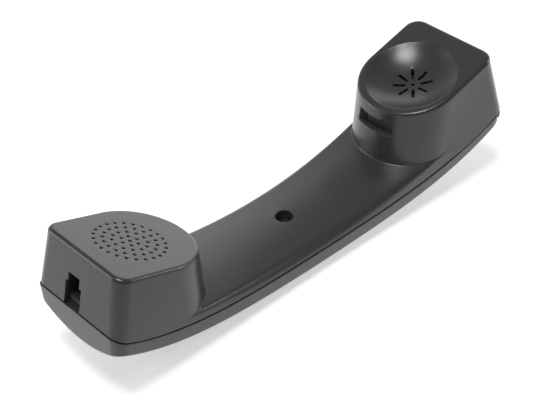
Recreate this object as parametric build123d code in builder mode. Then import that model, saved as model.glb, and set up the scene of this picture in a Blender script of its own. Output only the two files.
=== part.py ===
from build123d import *
from dataclasses import dataclass
from functools import cache
from math import asin, atan, cos, degrees, radians, sin, sqrt, tan
import os

# Corded telephone handset, lying on its curved back as it lies on a table.
# X runs along the handset, with the mouthpiece at -X and the earpiece at +X.
# Z is up. The origin is under the middle of the bounding box, on the table. Sizes are in millimetres.

# Overall form
LENGTH = 202.4
BELLY_X = -2.3
WIDTH_MOUTH = 46.5
WIDTH_BELLY = 40.1
WIDTH_EAR = 49.2

# Parting line between the front housing and the back cover, as heights above the table
PARTING_LOW = 11.0
PARTING_MOUTH = 30.7
PARTING_EAR = 31.8
BEND_MOUTH = 0.47
BEND_EAR = 0.39

# Moulded shells
WALL = 2.0
PARTING_GAP = 0.3
COVER_PROUD = 0.3
TOP_ROUND = 1.6
FACE_BAND_SPARE = 1.6
SEAM = 0.02
CLEARANCE = 0.3
FINE_CLEARANCE = 0.15
BEYOND = 100.0

# Front of the grip: heights of its side edges at three places, and its crown across the width
GRIP_EDGE_BELLY = 14.5
GRIP_EDGE_MOUTH = 19.9
GRIP_EDGE_EAR = 21.7
GRIP_EDGE_SPAN = 60.0
GRIP_CROWN = 2.4
GRIP_ROUND_BELLY = 5.0
GRIP_ROUND_END = 1.8
GRIP_ROUND_LEAST = 0.5
GRIP_REACH = 78.0
GRIP_SECTIONS = 8
GRIP_DROP = 6.0

# Back cover
RIM_MOUTH = 5.2
RIM_BELLY = 6.0
RIM_EAR = 4.5
CROWN_RADIUS = 40.0
COVER_DRAFT = 5.0
COVER_END_LEAN = 2.0
COVER_EDGE_ROUND = 1.5
RIM_SLOPE_MOST = 0.9
COVER_CORNER_MOUTH = 4.7
COVER_CORNER_EAR = 6.7
COVER_SIDE_POINTS = 8
COVER_SECTIONS = 12
CROWN_HALF_ANGLE = 50.0
CROWN_OVERREACH = 10.0
TONGUE_THICKNESS = 1.0
TONGUE_HEIGHT = 1.6
TONGUE_ROOT = 2.5
LEDGE_INSET = 0.6


@dataclass(frozen=True)
class Cup:
    """One cup of the handset: a drafted block with a tilted D-shaped face."""

    side: int
    centre_x: float
    face_height: float
    tilt: float
    half_width: float
    outer_reach: float
    inner_reach: float
    base_reach: float
    corner: float
    base_corner: float
    parting: float


MOUTH = Cup(-1, -72.35, 45.9, 18.1, 21.3, 24.9, 21.2, 23.6, 5.2, 4.4, PARTING_MOUTH)
EAR = Cup(1, 67.7, 49.55, 16.5, 21.4, 27.2, 21.2, 24.2, 6.2, 6.4, PARTING_EAR)
CUPS = (MOUTH, EAR)
CUP_BASE = 8.0
CORNER_LEAST = 1.0

# Earpiece dish and its star of slots
DISH_RADIUS = 18.7
DISH_DEPTH = 5.7
DISH_SHIFT = 0.35
DISH_LIP_ROUND = 0.8
SLOT_COUNT = 8
SLOT_START = 2.9
SLOT_END = 8.1
SLOT_WIDTH = 1.2
SLOT_TURN = -3.5
SLOT_CENTRE_RADIUS = 0.7

# Mouthpiece holes
HOLE_RADIUS = 0.65
HOLE_RINGS = 4
HOLE_RING_STEP = 3.15
HOLES_PER_RING = 6
HOLES_SHIFT = 3.5

# Hook pocket in the inner wall of the ear cup, narrowing to its back
POCKET_WIDTH = 18.2
POCKET_LOW = 33.6
POCKET_HIGH = 39.3
POCKET_BACK_X = 50.5
POCKET_TAPER = 2.8
POCKET_TAPER_DEPTH = 2.3
POCKET_WALL = 1.6

# Grip screw, its well in the housing and its boss in the cover
WELL_RADIUS = 3.5
WELL_WALL = 1.5
WELL_FLOOR_TOP = 9.0
WELL_FLOOR = 2.0
SCREW_RADIUS = 1.45
SCREW_HOLE_RADIUS = 1.7
SCREW_LENGTH = 6.4
SCREW_HEAD_RADIUS = 2.8
SCREW_HEAD_HEIGHT = 1.9
SCREW_HEAD_ROUND = 0.7
DRIVE_WIDTH = 0.9
DRIVE_LENGTH = 3.2
DRIVE_DEPTH = 1.2
PILOT_CLEARANCE = 0.05
PILOT_SPARE = 0.4
COVER_BOSS_RADIUS = 3.3

# Ballast bar on its tape, in a cradle of the cover
BALLAST_LENGTH = 60.0
BALLAST_WIDTH = 22.0
BALLAST_THICKNESS = 4.0
BALLAST_BOTTOM = 5.0
BALLAST_CORNER = 2.0
TAPE_THICKNESS = 0.4
TAPE_MARGIN = 1.5
CRADLE_WALL = 1.2
CRADLE_HEIGHT = 2.2
CRADLE_RIBS = (-22.0, -11.0, 11.0, 22.0)

# Receiver, as depths below the ear face and radii about the dish's axis
SEAT_DROP = 0.6
SEAT_INNER = 11.5
CLOTH_THICKNESS = 0.25
SEAL_THICKNESS = 0.8
SEAL_INNER = 11.8
CAP_RADIUS = 15.0
CAP_THICKNESS = 0.8
CAP_SKIRT = 0.5
CAP_SKIRT_DEPTH = 5.0
CLAMP_WIDTH = 1.4
CAP_HOLE_RADIUS = 0.9
CAP_HOLE_RINGS = 2
CAP_HOLE_RING_STEP = 4.0
AIR_DEPTH = 2.1
SURROUND_THICKNESS = 0.2
SURROUND_FLANGE = 1.4
SURROUND_ROLL = 0.8
DOME_RADIUS = 9.1
DOME_RISE = 1.6
DOME_THICKNESS = 0.2
DOME_FLANGE = 0.7
COIL_INNER = 8.2
COIL_OUTER = 8.75
COIL_HEIGHT = 3.7
POLE_DROP = 1.65
POLE_RADIUS = 7.8
POLE_THICKNESS = 1.2
MAGNET_RADIUS = 7.4
MAGNET_THICKNESS = 3.2
YOKE_INNER = 9.2
YOKE_OUTER = 10.4
YOKE_FLOOR = 1.2
FRAME_LIP = 1.5
FRAME_FLOOR = 1.4
FRAME_RISE = 2.0
FRAME_CLEARANCE = 0.05
FRAME_VENTS = 8
FRAME_VENT_RADIUS = 0.9
SKIRT_CLEARANCE = 0.05
BOARD_THICKNESS = 1.0
BOARD_HALF_ANGLE = 36.0
BOARD_MARGIN = 0.35
SUPPRESSOR_RADIUS = 1.55
SUPPRESSOR_THICKNESS = 1.4
SUPPRESSOR_ANGLE = 20.0
TUBE_CLEARANCE = 0.35
TUBE_WALL = 1.5
RETAINER_THICKNESS = 1.6
RETAINER_INNER = 9.4
RETAINER_GAP_ANGLE = 44.0
RETAINER_BOSS_U = 16.0
RETAINER_BOSS_V = 12.6
RETAINER_BOSS_RADIUS = 2.8
RETAINER_EAR_RADIUS = 3.2
RETAINER_EAR_MIDDLE = 0.85
SMALL_SCREW_RADIUS = 1.1
SMALL_SCREW_LENGTH = 7.0
SMALL_HEAD_RADIUS = 2.2
SMALL_HEAD_HEIGHT = 1.4
SMALL_DRIVE_WIDTH = 0.7
SMALL_DRIVE_LENGTH = 2.4
SMALL_DRIVE_DEPTH = 0.8

# Microphone, as depths below the mouth face and radii about its own axis, clear of the jack
MIC_SHIFT = -3.5
MIC_TUBE_INNER = 7.2
MIC_TUBE_WALL = 1.4
MIC_TUBE_DEPTH = 9.5
MIC_CLOTH = 0.4
BOOT_DEPTH = 8.0
BOOT_LIP = 0.7
BOOT_MOUTH_RADIUS = 3.4
BOOT_CLEARANCE = 0.1
MIC_FELT = 0.3
CAN_RADIUS = 4.85
CAN_DEPTH = 5.2
CAN_WALL = 0.3
CAN_SOUND_RADIUS = 1.0
CAN_CRIMP = 0.6
MIC_BOARD = 0.8
BOOT_GRIP = 0.05

# Jack in the mouth end
JACK_Y = 2.2
JACK_OPENING = 8.2
JACK_STEP_HEIGHT = 39.8
JACK_NOTCH = 5.8
JACK_NOTCH_TOP = 43.4
JACK_WIDTH = 11.2
JACK_BOTTOM = 31.2
JACK_TOP = 45.2
JACK_BACK_X = -82.5
JACK_CAVITY_BACK_X = -85.5
JACK_FLOOR = 1.8
JACK_CAVITY_WIDTH = 7.8
LATCH_WIDTH = 4.4
LATCH_STEP_X = -93.5
JACK_PITCH = 1.02
JACK_WIRES = 4
WIRE_RADIUS = 0.25
PIVOT_X = -94.0
PIVOT_LIFT = 0.5
CONTACT_RUN = 6.5
CONTACT_RISE = 2.7
LEAD_GAP = 0.5
LEAD_DROP = 0.3
LEAD_BEND = 0.5
LEAD_GROOVE = 0.7
TAIL_X = -84.2
TAIL_BELOW = 0.6
JACK_RIB = 1.5
JACK_RIB_FRONT_X = -97.5
JACK_RIB_BACK_X = -85.0
JACK_PAD_HALF = 3.0
JACK_BOARD_FRONT_X = -94.0
JACK_BOARD_BACK_X = -75.5
JACK_BOARD_WIDTH = 13.0
JACK_BOARD_THICKNESS = 1.2
PILLAR_X = -89.0
PILLAR_LENGTH = 7.0
PILLAR_WIDTH = 5.0

# Snap hooks that hold the two ends of the cover
HOOK_Y = 14.5
HOOK_WIDTH = 5.0
HOOK_THICKNESS = 1.3
HOOK_RISE = 6.0
HOOK_ROOT = 6.5
HOOK_NUB = 0.7
CATCH_LOW = 2.6
CATCH_HEIGHT = 1.4
CATCH_DEPTH = 2.1

# Leads inside the shell. Each point is the middle of a pair of leads, with the half distances
# between them along Y and Z.
LEAD_RADIUS = 0.5
LEAD_ARC_SHARE = 0.45
LEAD_EXIT = 6.2
RECEIVER_LEAD_HALF = 1.0
RECEIVER_ROUTE = (
    (57.5, 6.0, 16.6, 0.8, 0.4),
    (46.0, 11.5, 12.6, 0.4, 0.6),
    (32.0, 14.2, 9.9, 0.0, 0.65),
    (16.0, 14.4, 8.3, 0.0, 0.65),
    (-2.0, 14.1, 7.8, 0.0, 0.65),
    (-20.0, 14.4, 8.2, 0.0, 0.65),
    (-36.0, 14.1, 9.3, 0.0, 0.65),
    (-49.0, 13.2, 12.2, 0.2, 0.65),
    (-59.0, 11.2, 17.8, 0.6, 0.5),
    (-67.0, 8.6, 25.0, 0.8, 0.3),
    (-72.5, 6.3, 31.0, 0.8, 0.0),
)
BOARD_APPROACH = (-77.6, 5.5, 2.5)
MIC_LEAD_EXIT = 3.2
MIC_LEAD_HALF = 1.5
MIC_LEAD_LIFT = 2.4
MIC_LEAD_X = -76.6


def share_to_end(x):
    """Place along the length: 0 at the belly, 1 at either end."""
    end = LENGTH / 2
    if x < BELLY_X:
        return (BELLY_X - x) / (end + BELLY_X)
    return (x - BELLY_X) / (end - BELLY_X)


def parting_height(x):
    """Height of the parting line, flat at the belly and steep at the ends."""
    share = share_to_end(x)
    top, bend = (PARTING_MOUTH, BEND_MOUTH) if x < BELLY_X else (PARTING_EAR, BEND_EAR)
    return PARTING_LOW + (top - PARTING_LOW) * (bend * share**2 + (1 - bend) * share**4)


def half_width(x):
    """Half the cover's width at the parting line."""
    end = WIDTH_MOUTH if x < BELLY_X else WIDTH_EAR
    return (WIDTH_BELLY + (end - WIDTH_BELLY) * share_to_end(x) ** 2) / 2


def rim_height(x):
    """Height of the cover's side band below the parting line."""
    end = RIM_MOUTH if x < BELLY_X else RIM_EAR
    return RIM_BELLY + (end - RIM_BELLY) * share_to_end(x) ** 2


def grip_edge_height(x):
    """Height of the grip's side edges, a parabola through the three named heights."""
    place = (x - BELLY_X) / GRIP_EDGE_SPAN
    rise = (GRIP_EDGE_MOUTH + GRIP_EDGE_EAR) / 2 - GRIP_EDGE_BELLY
    lean = (GRIP_EDGE_EAR - GRIP_EDGE_MOUTH) / 2
    return GRIP_EDGE_BELLY + rise * place**2 + lean * place


def grip_round(x):
    """Radius of the grip's side edges: soft at the belly, crisp beside the cups."""
    place = min(1.0, abs(x - BELLY_X) / GRIP_EDGE_SPAN)
    return GRIP_ROUND_BELLY + (GRIP_ROUND_END - GRIP_ROUND_BELLY) * place**2


def sagitta(radius, half_chord):
    return radius - sqrt(radius**2 - half_chord**2)


def on_line(top_value, top, low_value, low, height):
    """Value at a height on the straight line through two height and value pairs."""
    return top_value + (low_value - top_value) * (top - height) / (top - low)


def places(low, high, steps):
    return [low + (high - low) * step / steps for step in range(steps + 1)]


def cup_plane(cup, shift=0.0, depth=0.0):
    """Plane of a cup's face: local X runs to the handset's end, local Z is the face's normal."""
    tilt = radians(cup.tilt)
    normal = Vector(-cup.side * sin(tilt), 0, cos(tilt))
    outward = Vector(cup.side * cos(tilt), 0, sin(tilt))
    origin = Vector(cup.centre_x, 0, cup.face_height) + outward * shift - normal * depth
    return Plane(origin=origin, x_dir=outward, z_dir=normal)


def profile_plane(plane):
    """Plane through another plane's axis, with local Y along that axis."""
    return Plane(origin=plane.origin, x_dir=plane.x_dir, z_dir=plane.x_dir.cross(plane.z_dir))


def axis_of(plane):
    return Axis(plane.origin, plane.z_dir)


def d_outline(outer, inner, half, flare):
    """D-shaped line: a straight outer end, two sides that spread by flare, and an arc tangent to both."""
    centre = (half * cos(flare) - inner) / (1 - sin(flare))
    radius = (half + centre * tan(flare)) * cos(flare)
    side_x = centre - radius * sin(flare)
    side_y = radius * cos(flare)
    end_y = half + outer * tan(flare)
    with BuildLine() as outline:
        Line((side_x, side_y), (outer, end_y))
        Line((outer, end_y), (outer, -end_y))
        Line((outer, -end_y), (side_x, -side_y))
        ThreePointArc((side_x, -side_y), (centre - radius, 0), (side_x, side_y))
    return outline.line


def wall_reach(cup, face_reach, base_x, depth):
    """Local X, at a depth below a cup's face, of the wall that runs from the face to a place of its base."""
    foot = cup_plane(cup).to_local_coords(Vector(cup.side * base_x, 0, CUP_BASE))
    return face_reach + (abs(foot.X) - face_reach) * depth / -foot.Z


@cache
def cup_form(cup, inset=0.0):
    """Drafted solid of a cup, from its face down past the parting line, smaller by inset on every side."""
    tilt = radians(cup.tilt)
    centre = cup.centre_x * cup.side
    end = LENGTH / 2 - COVER_PROUD
    face_end = centre + cup.outer_reach * cos(tilt)
    face_end_height = cup.face_height + cup.outer_reach * sin(tilt)
    base_end = on_line(face_end, face_end_height, end, cup.parting, CUP_BASE)
    end_at_parting = half_width(cup.side * end) - COVER_PROUD
    mid_at_parting = half_width(cup.centre_x) - COVER_PROUD
    end_half = on_line(cup.half_width, face_end_height, end_at_parting, cup.parting, CUP_BASE)
    mid_half = on_line(
        cup.half_width, cup.face_height, mid_at_parting, parting_height(cup.centre_x), CUP_BASE
    )
    flare = atan((end_half - mid_half) / (base_end - centre))
    # The top band of the walls has flat sides, so that the rounding of the face runs on flat walls
    band = TOP_ROUND + FACE_BAND_SPARE
    band_outer = wall_reach(cup, cup.outer_reach, base_end, band)
    band_inner = wall_reach(cup, cup.inner_reach, centre - cup.base_reach, band)
    band_height = cup.face_height - band * cos(tilt)
    band_half = on_line(cup.half_width, cup.face_height, mid_half, CUP_BASE, band_height)
    base_plane = Plane(origin=(cup.centre_x, 0, CUP_BASE), x_dir=(cup.side, 0, 0), z_dir=(0, 0, 1))
    sections = (
        (cup_plane(cup, depth=inset), cup.outer_reach, cup.inner_reach, cup.half_width, 0, cup.corner),
        (cup_plane(cup, depth=inset + band), band_outer, band_inner, band_half, 0, cup.corner),
        (base_plane, base_end - centre, cup.base_reach, mid_half, flare, cup.base_corner),
    )
    outlines = []
    for plane, outer, inner, half, spread, corner in sections:
        with BuildSketch(plane) as outline:
            add(d_outline(outer - inset, inner - inset, half - inset, spread))
            make_face()
            fillet(outline.vertices().group_by(Axis.X)[-1], max(corner - inset, CORNER_LEAST))
        outlines.append(outline.sketch)
    with BuildPart() as form:
        loft(outlines, ruled=True)
    return form.part


def grip_section(x, inset, drop):
    """Cross-section of the grip: flat below, straight sides, two rounded edges and a crowned face."""
    half = half_width(x) - COVER_PROUD - inset
    side_top = grip_edge_height(x) - inset
    low = parting_height(x) - drop
    edge = max(grip_round(x) - inset, GRIP_ROUND_LEAST)
    face_radius = (half**2 + GRIP_CROWN**2) / (2 * GRIP_CROWN)
    face_centre = side_top + GRIP_CROWN - face_radius
    rise = sqrt((face_radius - edge) ** 2 - (half - edge) ** 2)
    wall_top = face_centre + rise
    reach = face_radius / (face_radius - edge)
    join = ((half - edge) * reach, face_centre + rise * reach)
    turn = radians(90 + degrees(asin((half - edge) / (face_radius - edge)))) / 2
    middle = (half - edge + edge * sin(turn), wall_top + edge * cos(turn))
    with BuildSketch(Plane.YZ.offset(x)) as section:
        with BuildLine():
            Line((-half, low), (half, low))
            Line((half, low), (half, wall_top))
            ThreePointArc((half, wall_top), middle, join)
            ThreePointArc(join, (0, side_top + GRIP_CROWN), (-join[0], join[1]))
            ThreePointArc((-join[0], join[1]), (-middle[0], middle[1]), (-half, wall_top))
            Line((-half, wall_top), (-half, low))
        make_face()
    return section.sketch


def grip_form(inset=0.0, drop=GRIP_DROP):
    """Solid of the grip, running into both cups."""
    with BuildPart() as form:
        loft([grip_section(x, inset, drop) for x in places(-GRIP_REACH, GRIP_REACH, GRIP_SECTIONS)])
    return form.part


@cache
def front_form(inset=0.0):
    """Grip and both cups as one solid, smaller by inset on every side."""
    with BuildPart() as form:
        add(grip_form(inset, GRIP_DROP + inset))
        for cup in CUPS:
            add(cup_form(cup, inset))
    return form.part


def parting_band(low, high):
    """Everything between two heights measured from the parting line, over the handset's whole width."""
    over = CROWN_OVERREACH
    ends = places(-LENGTH / 2 - over, LENGTH / 2 + over, COVER_SECTIONS)
    with BuildPart() as band:
        with BuildSketch(Plane.XZ):
            with BuildLine():
                lower = Spline(*[(x, parting_height(x) + low) for x in ends])
                upper = Spline(*[(x, parting_height(x) + high) for x in ends])
                Line(lower @ 0, upper @ 0)
                Line(lower @ 1, upper @ 1)
            make_face()
        extrude(amount=WIDTH_EAR, both=True)
    return band.part


def cover_outline(height, inset):
    """Plan of the back cover at a height, with its draft."""
    draft = tan(radians(COVER_DRAFT))
    lean = tan(radians(COVER_END_LEAN))
    mouth_end = -LENGTH / 2 - (height - PARTING_MOUTH) * lean + inset
    ear_end = LENGTH / 2 + (height - PARTING_EAR) * lean - inset
    side = [
        (x, half_width(x) + (height - parting_height(x)) * draft - inset)
        for x in places(mouth_end, ear_end, COVER_SIDE_POINTS)
    ]
    with BuildSketch(Plane.XY.offset(height)) as outline:
        with BuildLine():
            far = Spline(*side)
            near = Spline(*[(x, -y) for x, y in side])
            Line(far @ 0, near @ 0)
            Line(far @ 1, near @ 1)
        make_face()
        corners = outline.vertices().group_by(Axis.X)
        fillet(corners[0], max(COVER_CORNER_MOUTH - inset, CORNER_LEAST))
        corners = outline.vertices().group_by(Axis.X)
        fillet(corners[-1], max(COVER_CORNER_EAR - inset, CORNER_LEAST))
    return outline.sketch


def crown_section(x, inset):
    """Cross-section above the crowned back, wider than the cover."""
    low = parting_height(x) - rim_height(x) - sagitta(CROWN_RADIUS, half_width(x)) + inset
    half = CROWN_RADIUS * sin(radians(CROWN_HALF_ANGLE))
    radius = CROWN_RADIUS - inset
    side = low + sagitta(radius, half)
    top = PARTING_EAR + LENGTH / 4
    with BuildSketch(Plane.YZ.offset(x)) as section:
        with BuildLine():
            Line((-half, side), (-half, top))
            Line((-half, top), (half, top))
            Line((half, top), (half, side))
            ThreePointArc((half, side), (0, low), (-half, side))
        make_face()
    return section.sketch


@cache
def cover_form(inset=0.0):
    """Back cover's outer solid, flat where it rests on the table and not yet cut at the parting line."""
    reach = LENGTH / 2 + CROWN_OVERREACH
    with BuildPart() as crown:
        loft([crown_section(x, inset) for x in places(-reach, reach, COVER_SECTIONS)])
    heights = (inset, PARTING_EAR + CROWN_OVERREACH)
    with BuildPart() as form:
        loft([cover_outline(height, inset) for height in heights], ruled=True)
        add(crown.part, mode=Mode.INTERSECT)
    return form.part


def solid_box(x, y, z):
    """Box between two heights, lengths and widths, each given as a pair."""
    with BuildPart() as block:
        with Locations(((x[0] + x[1]) / 2, (y[0] + y[1]) / 2, (z[0] + z[1]) / 2)):
            Box(x[1] - x[0], y[1] - y[0], z[1] - z[0])
    return block.part


def ring(plane, outer, inner, top, bottom):
    """Tube or disc about a plane's axis, between two depths below the plane."""
    with BuildPart() as body:
        with BuildSketch(plane.offset(-bottom)):
            Circle(outer)
            if inner > 0:
                Circle(inner, mode=Mode.SUBTRACT)
        extrude(amount=bottom - top)
    return body.part


def sector(half_angle):
    """Triangle that opens from the origin towards local -X, longer than the receiver's radius."""
    reach = 2 * CAP_RADIUS
    spread = reach * tan(radians(half_angle))
    with BuildSketch() as area:
        with BuildLine():
            Polyline((0, 0), (-reach, spread), (-reach, -spread), close=True)
        make_face()
    return area.sketch


def screw(plane, shank, head, drive):
    """Pan-head screw with a cross recess; its plane lies under the head, facing out of it."""
    with BuildPart() as body:
        with BuildSketch(plane):
            Circle(head[0])
        extrude(amount=head[1])
        rim = body.edges().filter_by(GeomType.CIRCLE).sort_by(axis_of(plane))[-1]
        fillet(rim, SCREW_HEAD_ROUND)
        with BuildSketch(plane):
            Circle(shank[0])
        extrude(amount=-shank[1])
        with BuildSketch(plane.offset(head[1])):
            Rectangle(drive[0], drive[1])
            Rectangle(drive[1], drive[0])
        extrude(amount=-drive[2], mode=Mode.SUBTRACT)
    return body.part


def bend_radii(points):
    """Radius of each corner's arc: as large as its two runs allow."""
    radii = []
    for before, corner, after in zip(points, points[1:], points[2:]):
        arriving = Vector(*corner) - Vector(*before)
        leaving = Vector(*after) - Vector(*corner)
        half_turn = radians(arriving.get_angle(leaving)) / 2
        radii.append(LEAD_ARC_SHARE * min(arriving.length, leaving.length) / tan(half_turn))
    return radii


def wire(points, radius, bends):
    """Round wire along straight runs joined by tangent arcs."""
    with BuildPart() as strand:
        with BuildLine():
            route = FilletPolyline(*points, radius=bends)
        with BuildSketch(Plane(origin=route @ 0, z_dir=route % 0)):
            Circle(radius)
        sweep()
    return strand.part


# Planes and depths of the receiver and the microphone
receiver_plane = cup_plane(EAR, DISH_SHIFT)
receiver_axis = axis_of(receiver_plane)
receiver_profile = profile_plane(receiver_plane)
holes_plane = cup_plane(MOUTH, HOLES_SHIFT)
mic_plane = cup_plane(MOUTH, MIC_SHIFT)

dish_sphere = (DISH_RADIUS**2 + DISH_DEPTH**2) / (2 * DISH_DEPTH)
seat_depth = DISH_DEPTH + WALL + SEAT_DROP
seal_depth = seat_depth + CLOTH_THICKNESS
cap_depth = seal_depth + SEAL_THICKNESS
flange_depth = cap_depth + CAP_THICKNESS + AIR_DEPTH
frame_depth = flange_depth + SURROUND_THICKNESS
pole_depth = flange_depth + DOME_THICKNESS + POLE_DROP
magnet_depth = pole_depth + POLE_THICKNESS
yoke_floor_depth = magnet_depth + MAGNET_THICKNESS
receiver_back = yoke_floor_depth + YOKE_FLOOR
board_depth = receiver_back - FRAME_RISE
frame_floor_depth = board_depth - FRAME_FLOOR
frame_outer = CAP_RADIUS - CAP_SKIRT - SKIRT_CLEARANCE
frame_inner = YOKE_OUTER + FRAME_CLEARANCE
surround_outer = frame_outer - FRAME_CLEARANCE
surround_inner = DOME_RADIUS + FINE_CLEARANCE
tube_inner = CAP_RADIUS + TUBE_CLEARANCE
tube_outer = tube_inner + TUBE_WALL
board_back = board_depth + BOARD_THICKNESS
board_radius = (frame_inner + frame_outer) / 2
retainer_back = receiver_back + RETAINER_THICKNESS

boot_depth = WALL + MIC_CLOTH
felt_depth = boot_depth + BOOT_LIP
can_depth = felt_depth + MIC_FELT
mic_board_depth = can_depth + CAN_DEPTH
mic_back = mic_board_depth + MIC_BOARD
boot_outer = MIC_TUBE_INNER - BOOT_CLEARANCE

# Screw well and the ballast's hole round it
well_outer = WELL_RADIUS + WELL_WALL
well_floor_bottom = WELL_FLOOR_TOP - WELL_FLOOR
ballast_hole = well_outer + CLEARANCE
tape_bottom = BALLAST_BOTTOM - TAPE_THICKNESS

# Jack's inner floor and the heights of its contacts
jack_floor_top = JACK_BOTTOM + JACK_FLOOR
pivot_height = jack_floor_top + PIVOT_LIFT
lead_height = jack_floor_top - LEAD_DROP
board_top = JACK_BOTTOM
board_bottom = JACK_BOTTOM - JACK_BOARD_THICKNESS
jack_opening_depth_x = JACK_RIB_FRONT_X + WALL
wire_ys = [JACK_Y + JACK_PITCH * (i - (JACK_WIRES - 1) / 2) for i in range(JACK_WIRES)]


def end_wall_x(cup, height, inset):
    """Place of a cup's end wall at a height, moved in by inset."""
    tilt = radians(cup.tilt)
    face_end = cup.centre_x * cup.side + cup.outer_reach * cos(tilt)
    face_top = cup.face_height + cup.outer_reach * sin(tilt)
    return on_line(face_end, face_top, LENGTH / 2 - COVER_PROUD, cup.parting, height) - inset


def catch_face(cup):
    """Distance from the middle of the handset to the inner face of a cup's catches."""
    return end_wall_x(cup, cup.parting + CATCH_LOW, CATCH_DEPTH + WALL / 2)


def local_point(plane, u, v, depth):
    return plane.from_local_coords(Vector(u, v, -depth))


# Front housing: shell, dish, seats, bosses and openings
with BuildPart() as dish_ball:
    with Locations(receiver_plane.from_local_coords(Vector(0, 0, dish_sphere - DISH_DEPTH))):
        Sphere(dish_sphere)

with BuildPart() as dish_shell:
    with Locations(receiver_plane.from_local_coords(Vector(0, 0, dish_sphere - DISH_DEPTH))):
        Sphere(dish_sphere + WALL)

with BuildPart() as housing_works:
    add(ring(receiver_plane, tube_outer, tube_inner, WALL / 2, receiver_back))
    add(ring(receiver_plane, tube_outer, SEAT_INNER, WALL / 2, seat_depth))
    for v in (-RETAINER_BOSS_V, RETAINER_BOSS_V):
        with BuildSketch(receiver_plane.offset(-receiver_back)):
            with Locations((RETAINER_BOSS_U, v)):
                Circle(RETAINER_BOSS_RADIUS)
        extrude(amount=receiver_back - WALL / 2)
    add(ring(mic_plane, MIC_TUBE_INNER + MIC_TUBE_WALL, MIC_TUBE_INNER, WALL / 2, MIC_TUBE_DEPTH))
    with BuildSketch(Plane.XY.offset(well_floor_bottom)):
        with Locations((BELLY_X, 0)):
            Circle(well_outer)
    extrude(amount=PARTING_EAR)
    rib_inner = JACK_WIDTH / 2 + FINE_CLEARANCE
    for y in (JACK_Y - rib_inner - JACK_RIB, JACK_Y + rib_inner):
        add(solid_box((JACK_RIB_FRONT_X, JACK_RIB_BACK_X), (y, y + JACK_RIB), (JACK_BOTTOM, BEYOND)))
    add(
        solid_box(
            (JACK_RIB_FRONT_X, JACK_RIB_BACK_X),
            (JACK_Y - JACK_PAD_HALF, JACK_Y + JACK_PAD_HALF),
            (JACK_TOP, BEYOND),
        )
    )
    add(
        solid_box(
            (EAR.centre_x - 2 * EAR.inner_reach, POCKET_BACK_X + POCKET_WALL),
            (-POCKET_WIDTH / 2 - POCKET_WALL, POCKET_WIDTH / 2 + POCKET_WALL),
            (POCKET_LOW - POCKET_WALL, POCKET_HIGH + POCKET_WALL),
        )
    )
    for cup in CUPS:
        for y in (-HOOK_Y, HOOK_Y):
            low = cup.parting + CATCH_LOW
            xs = sorted((cup.side * catch_face(cup), cup.side * LENGTH))
            add(solid_box(xs, (y - HOOK_WIDTH / 2, y + HOOK_WIDTH / 2), (low, low + CATCH_HEIGHT)))
    add(front_form(WALL / 2), mode=Mode.INTERSECT)

with BuildPart() as housing_cavity:
    add(front_form(WALL))
    add(dish_shell.part, mode=Mode.SUBTRACT)

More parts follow.
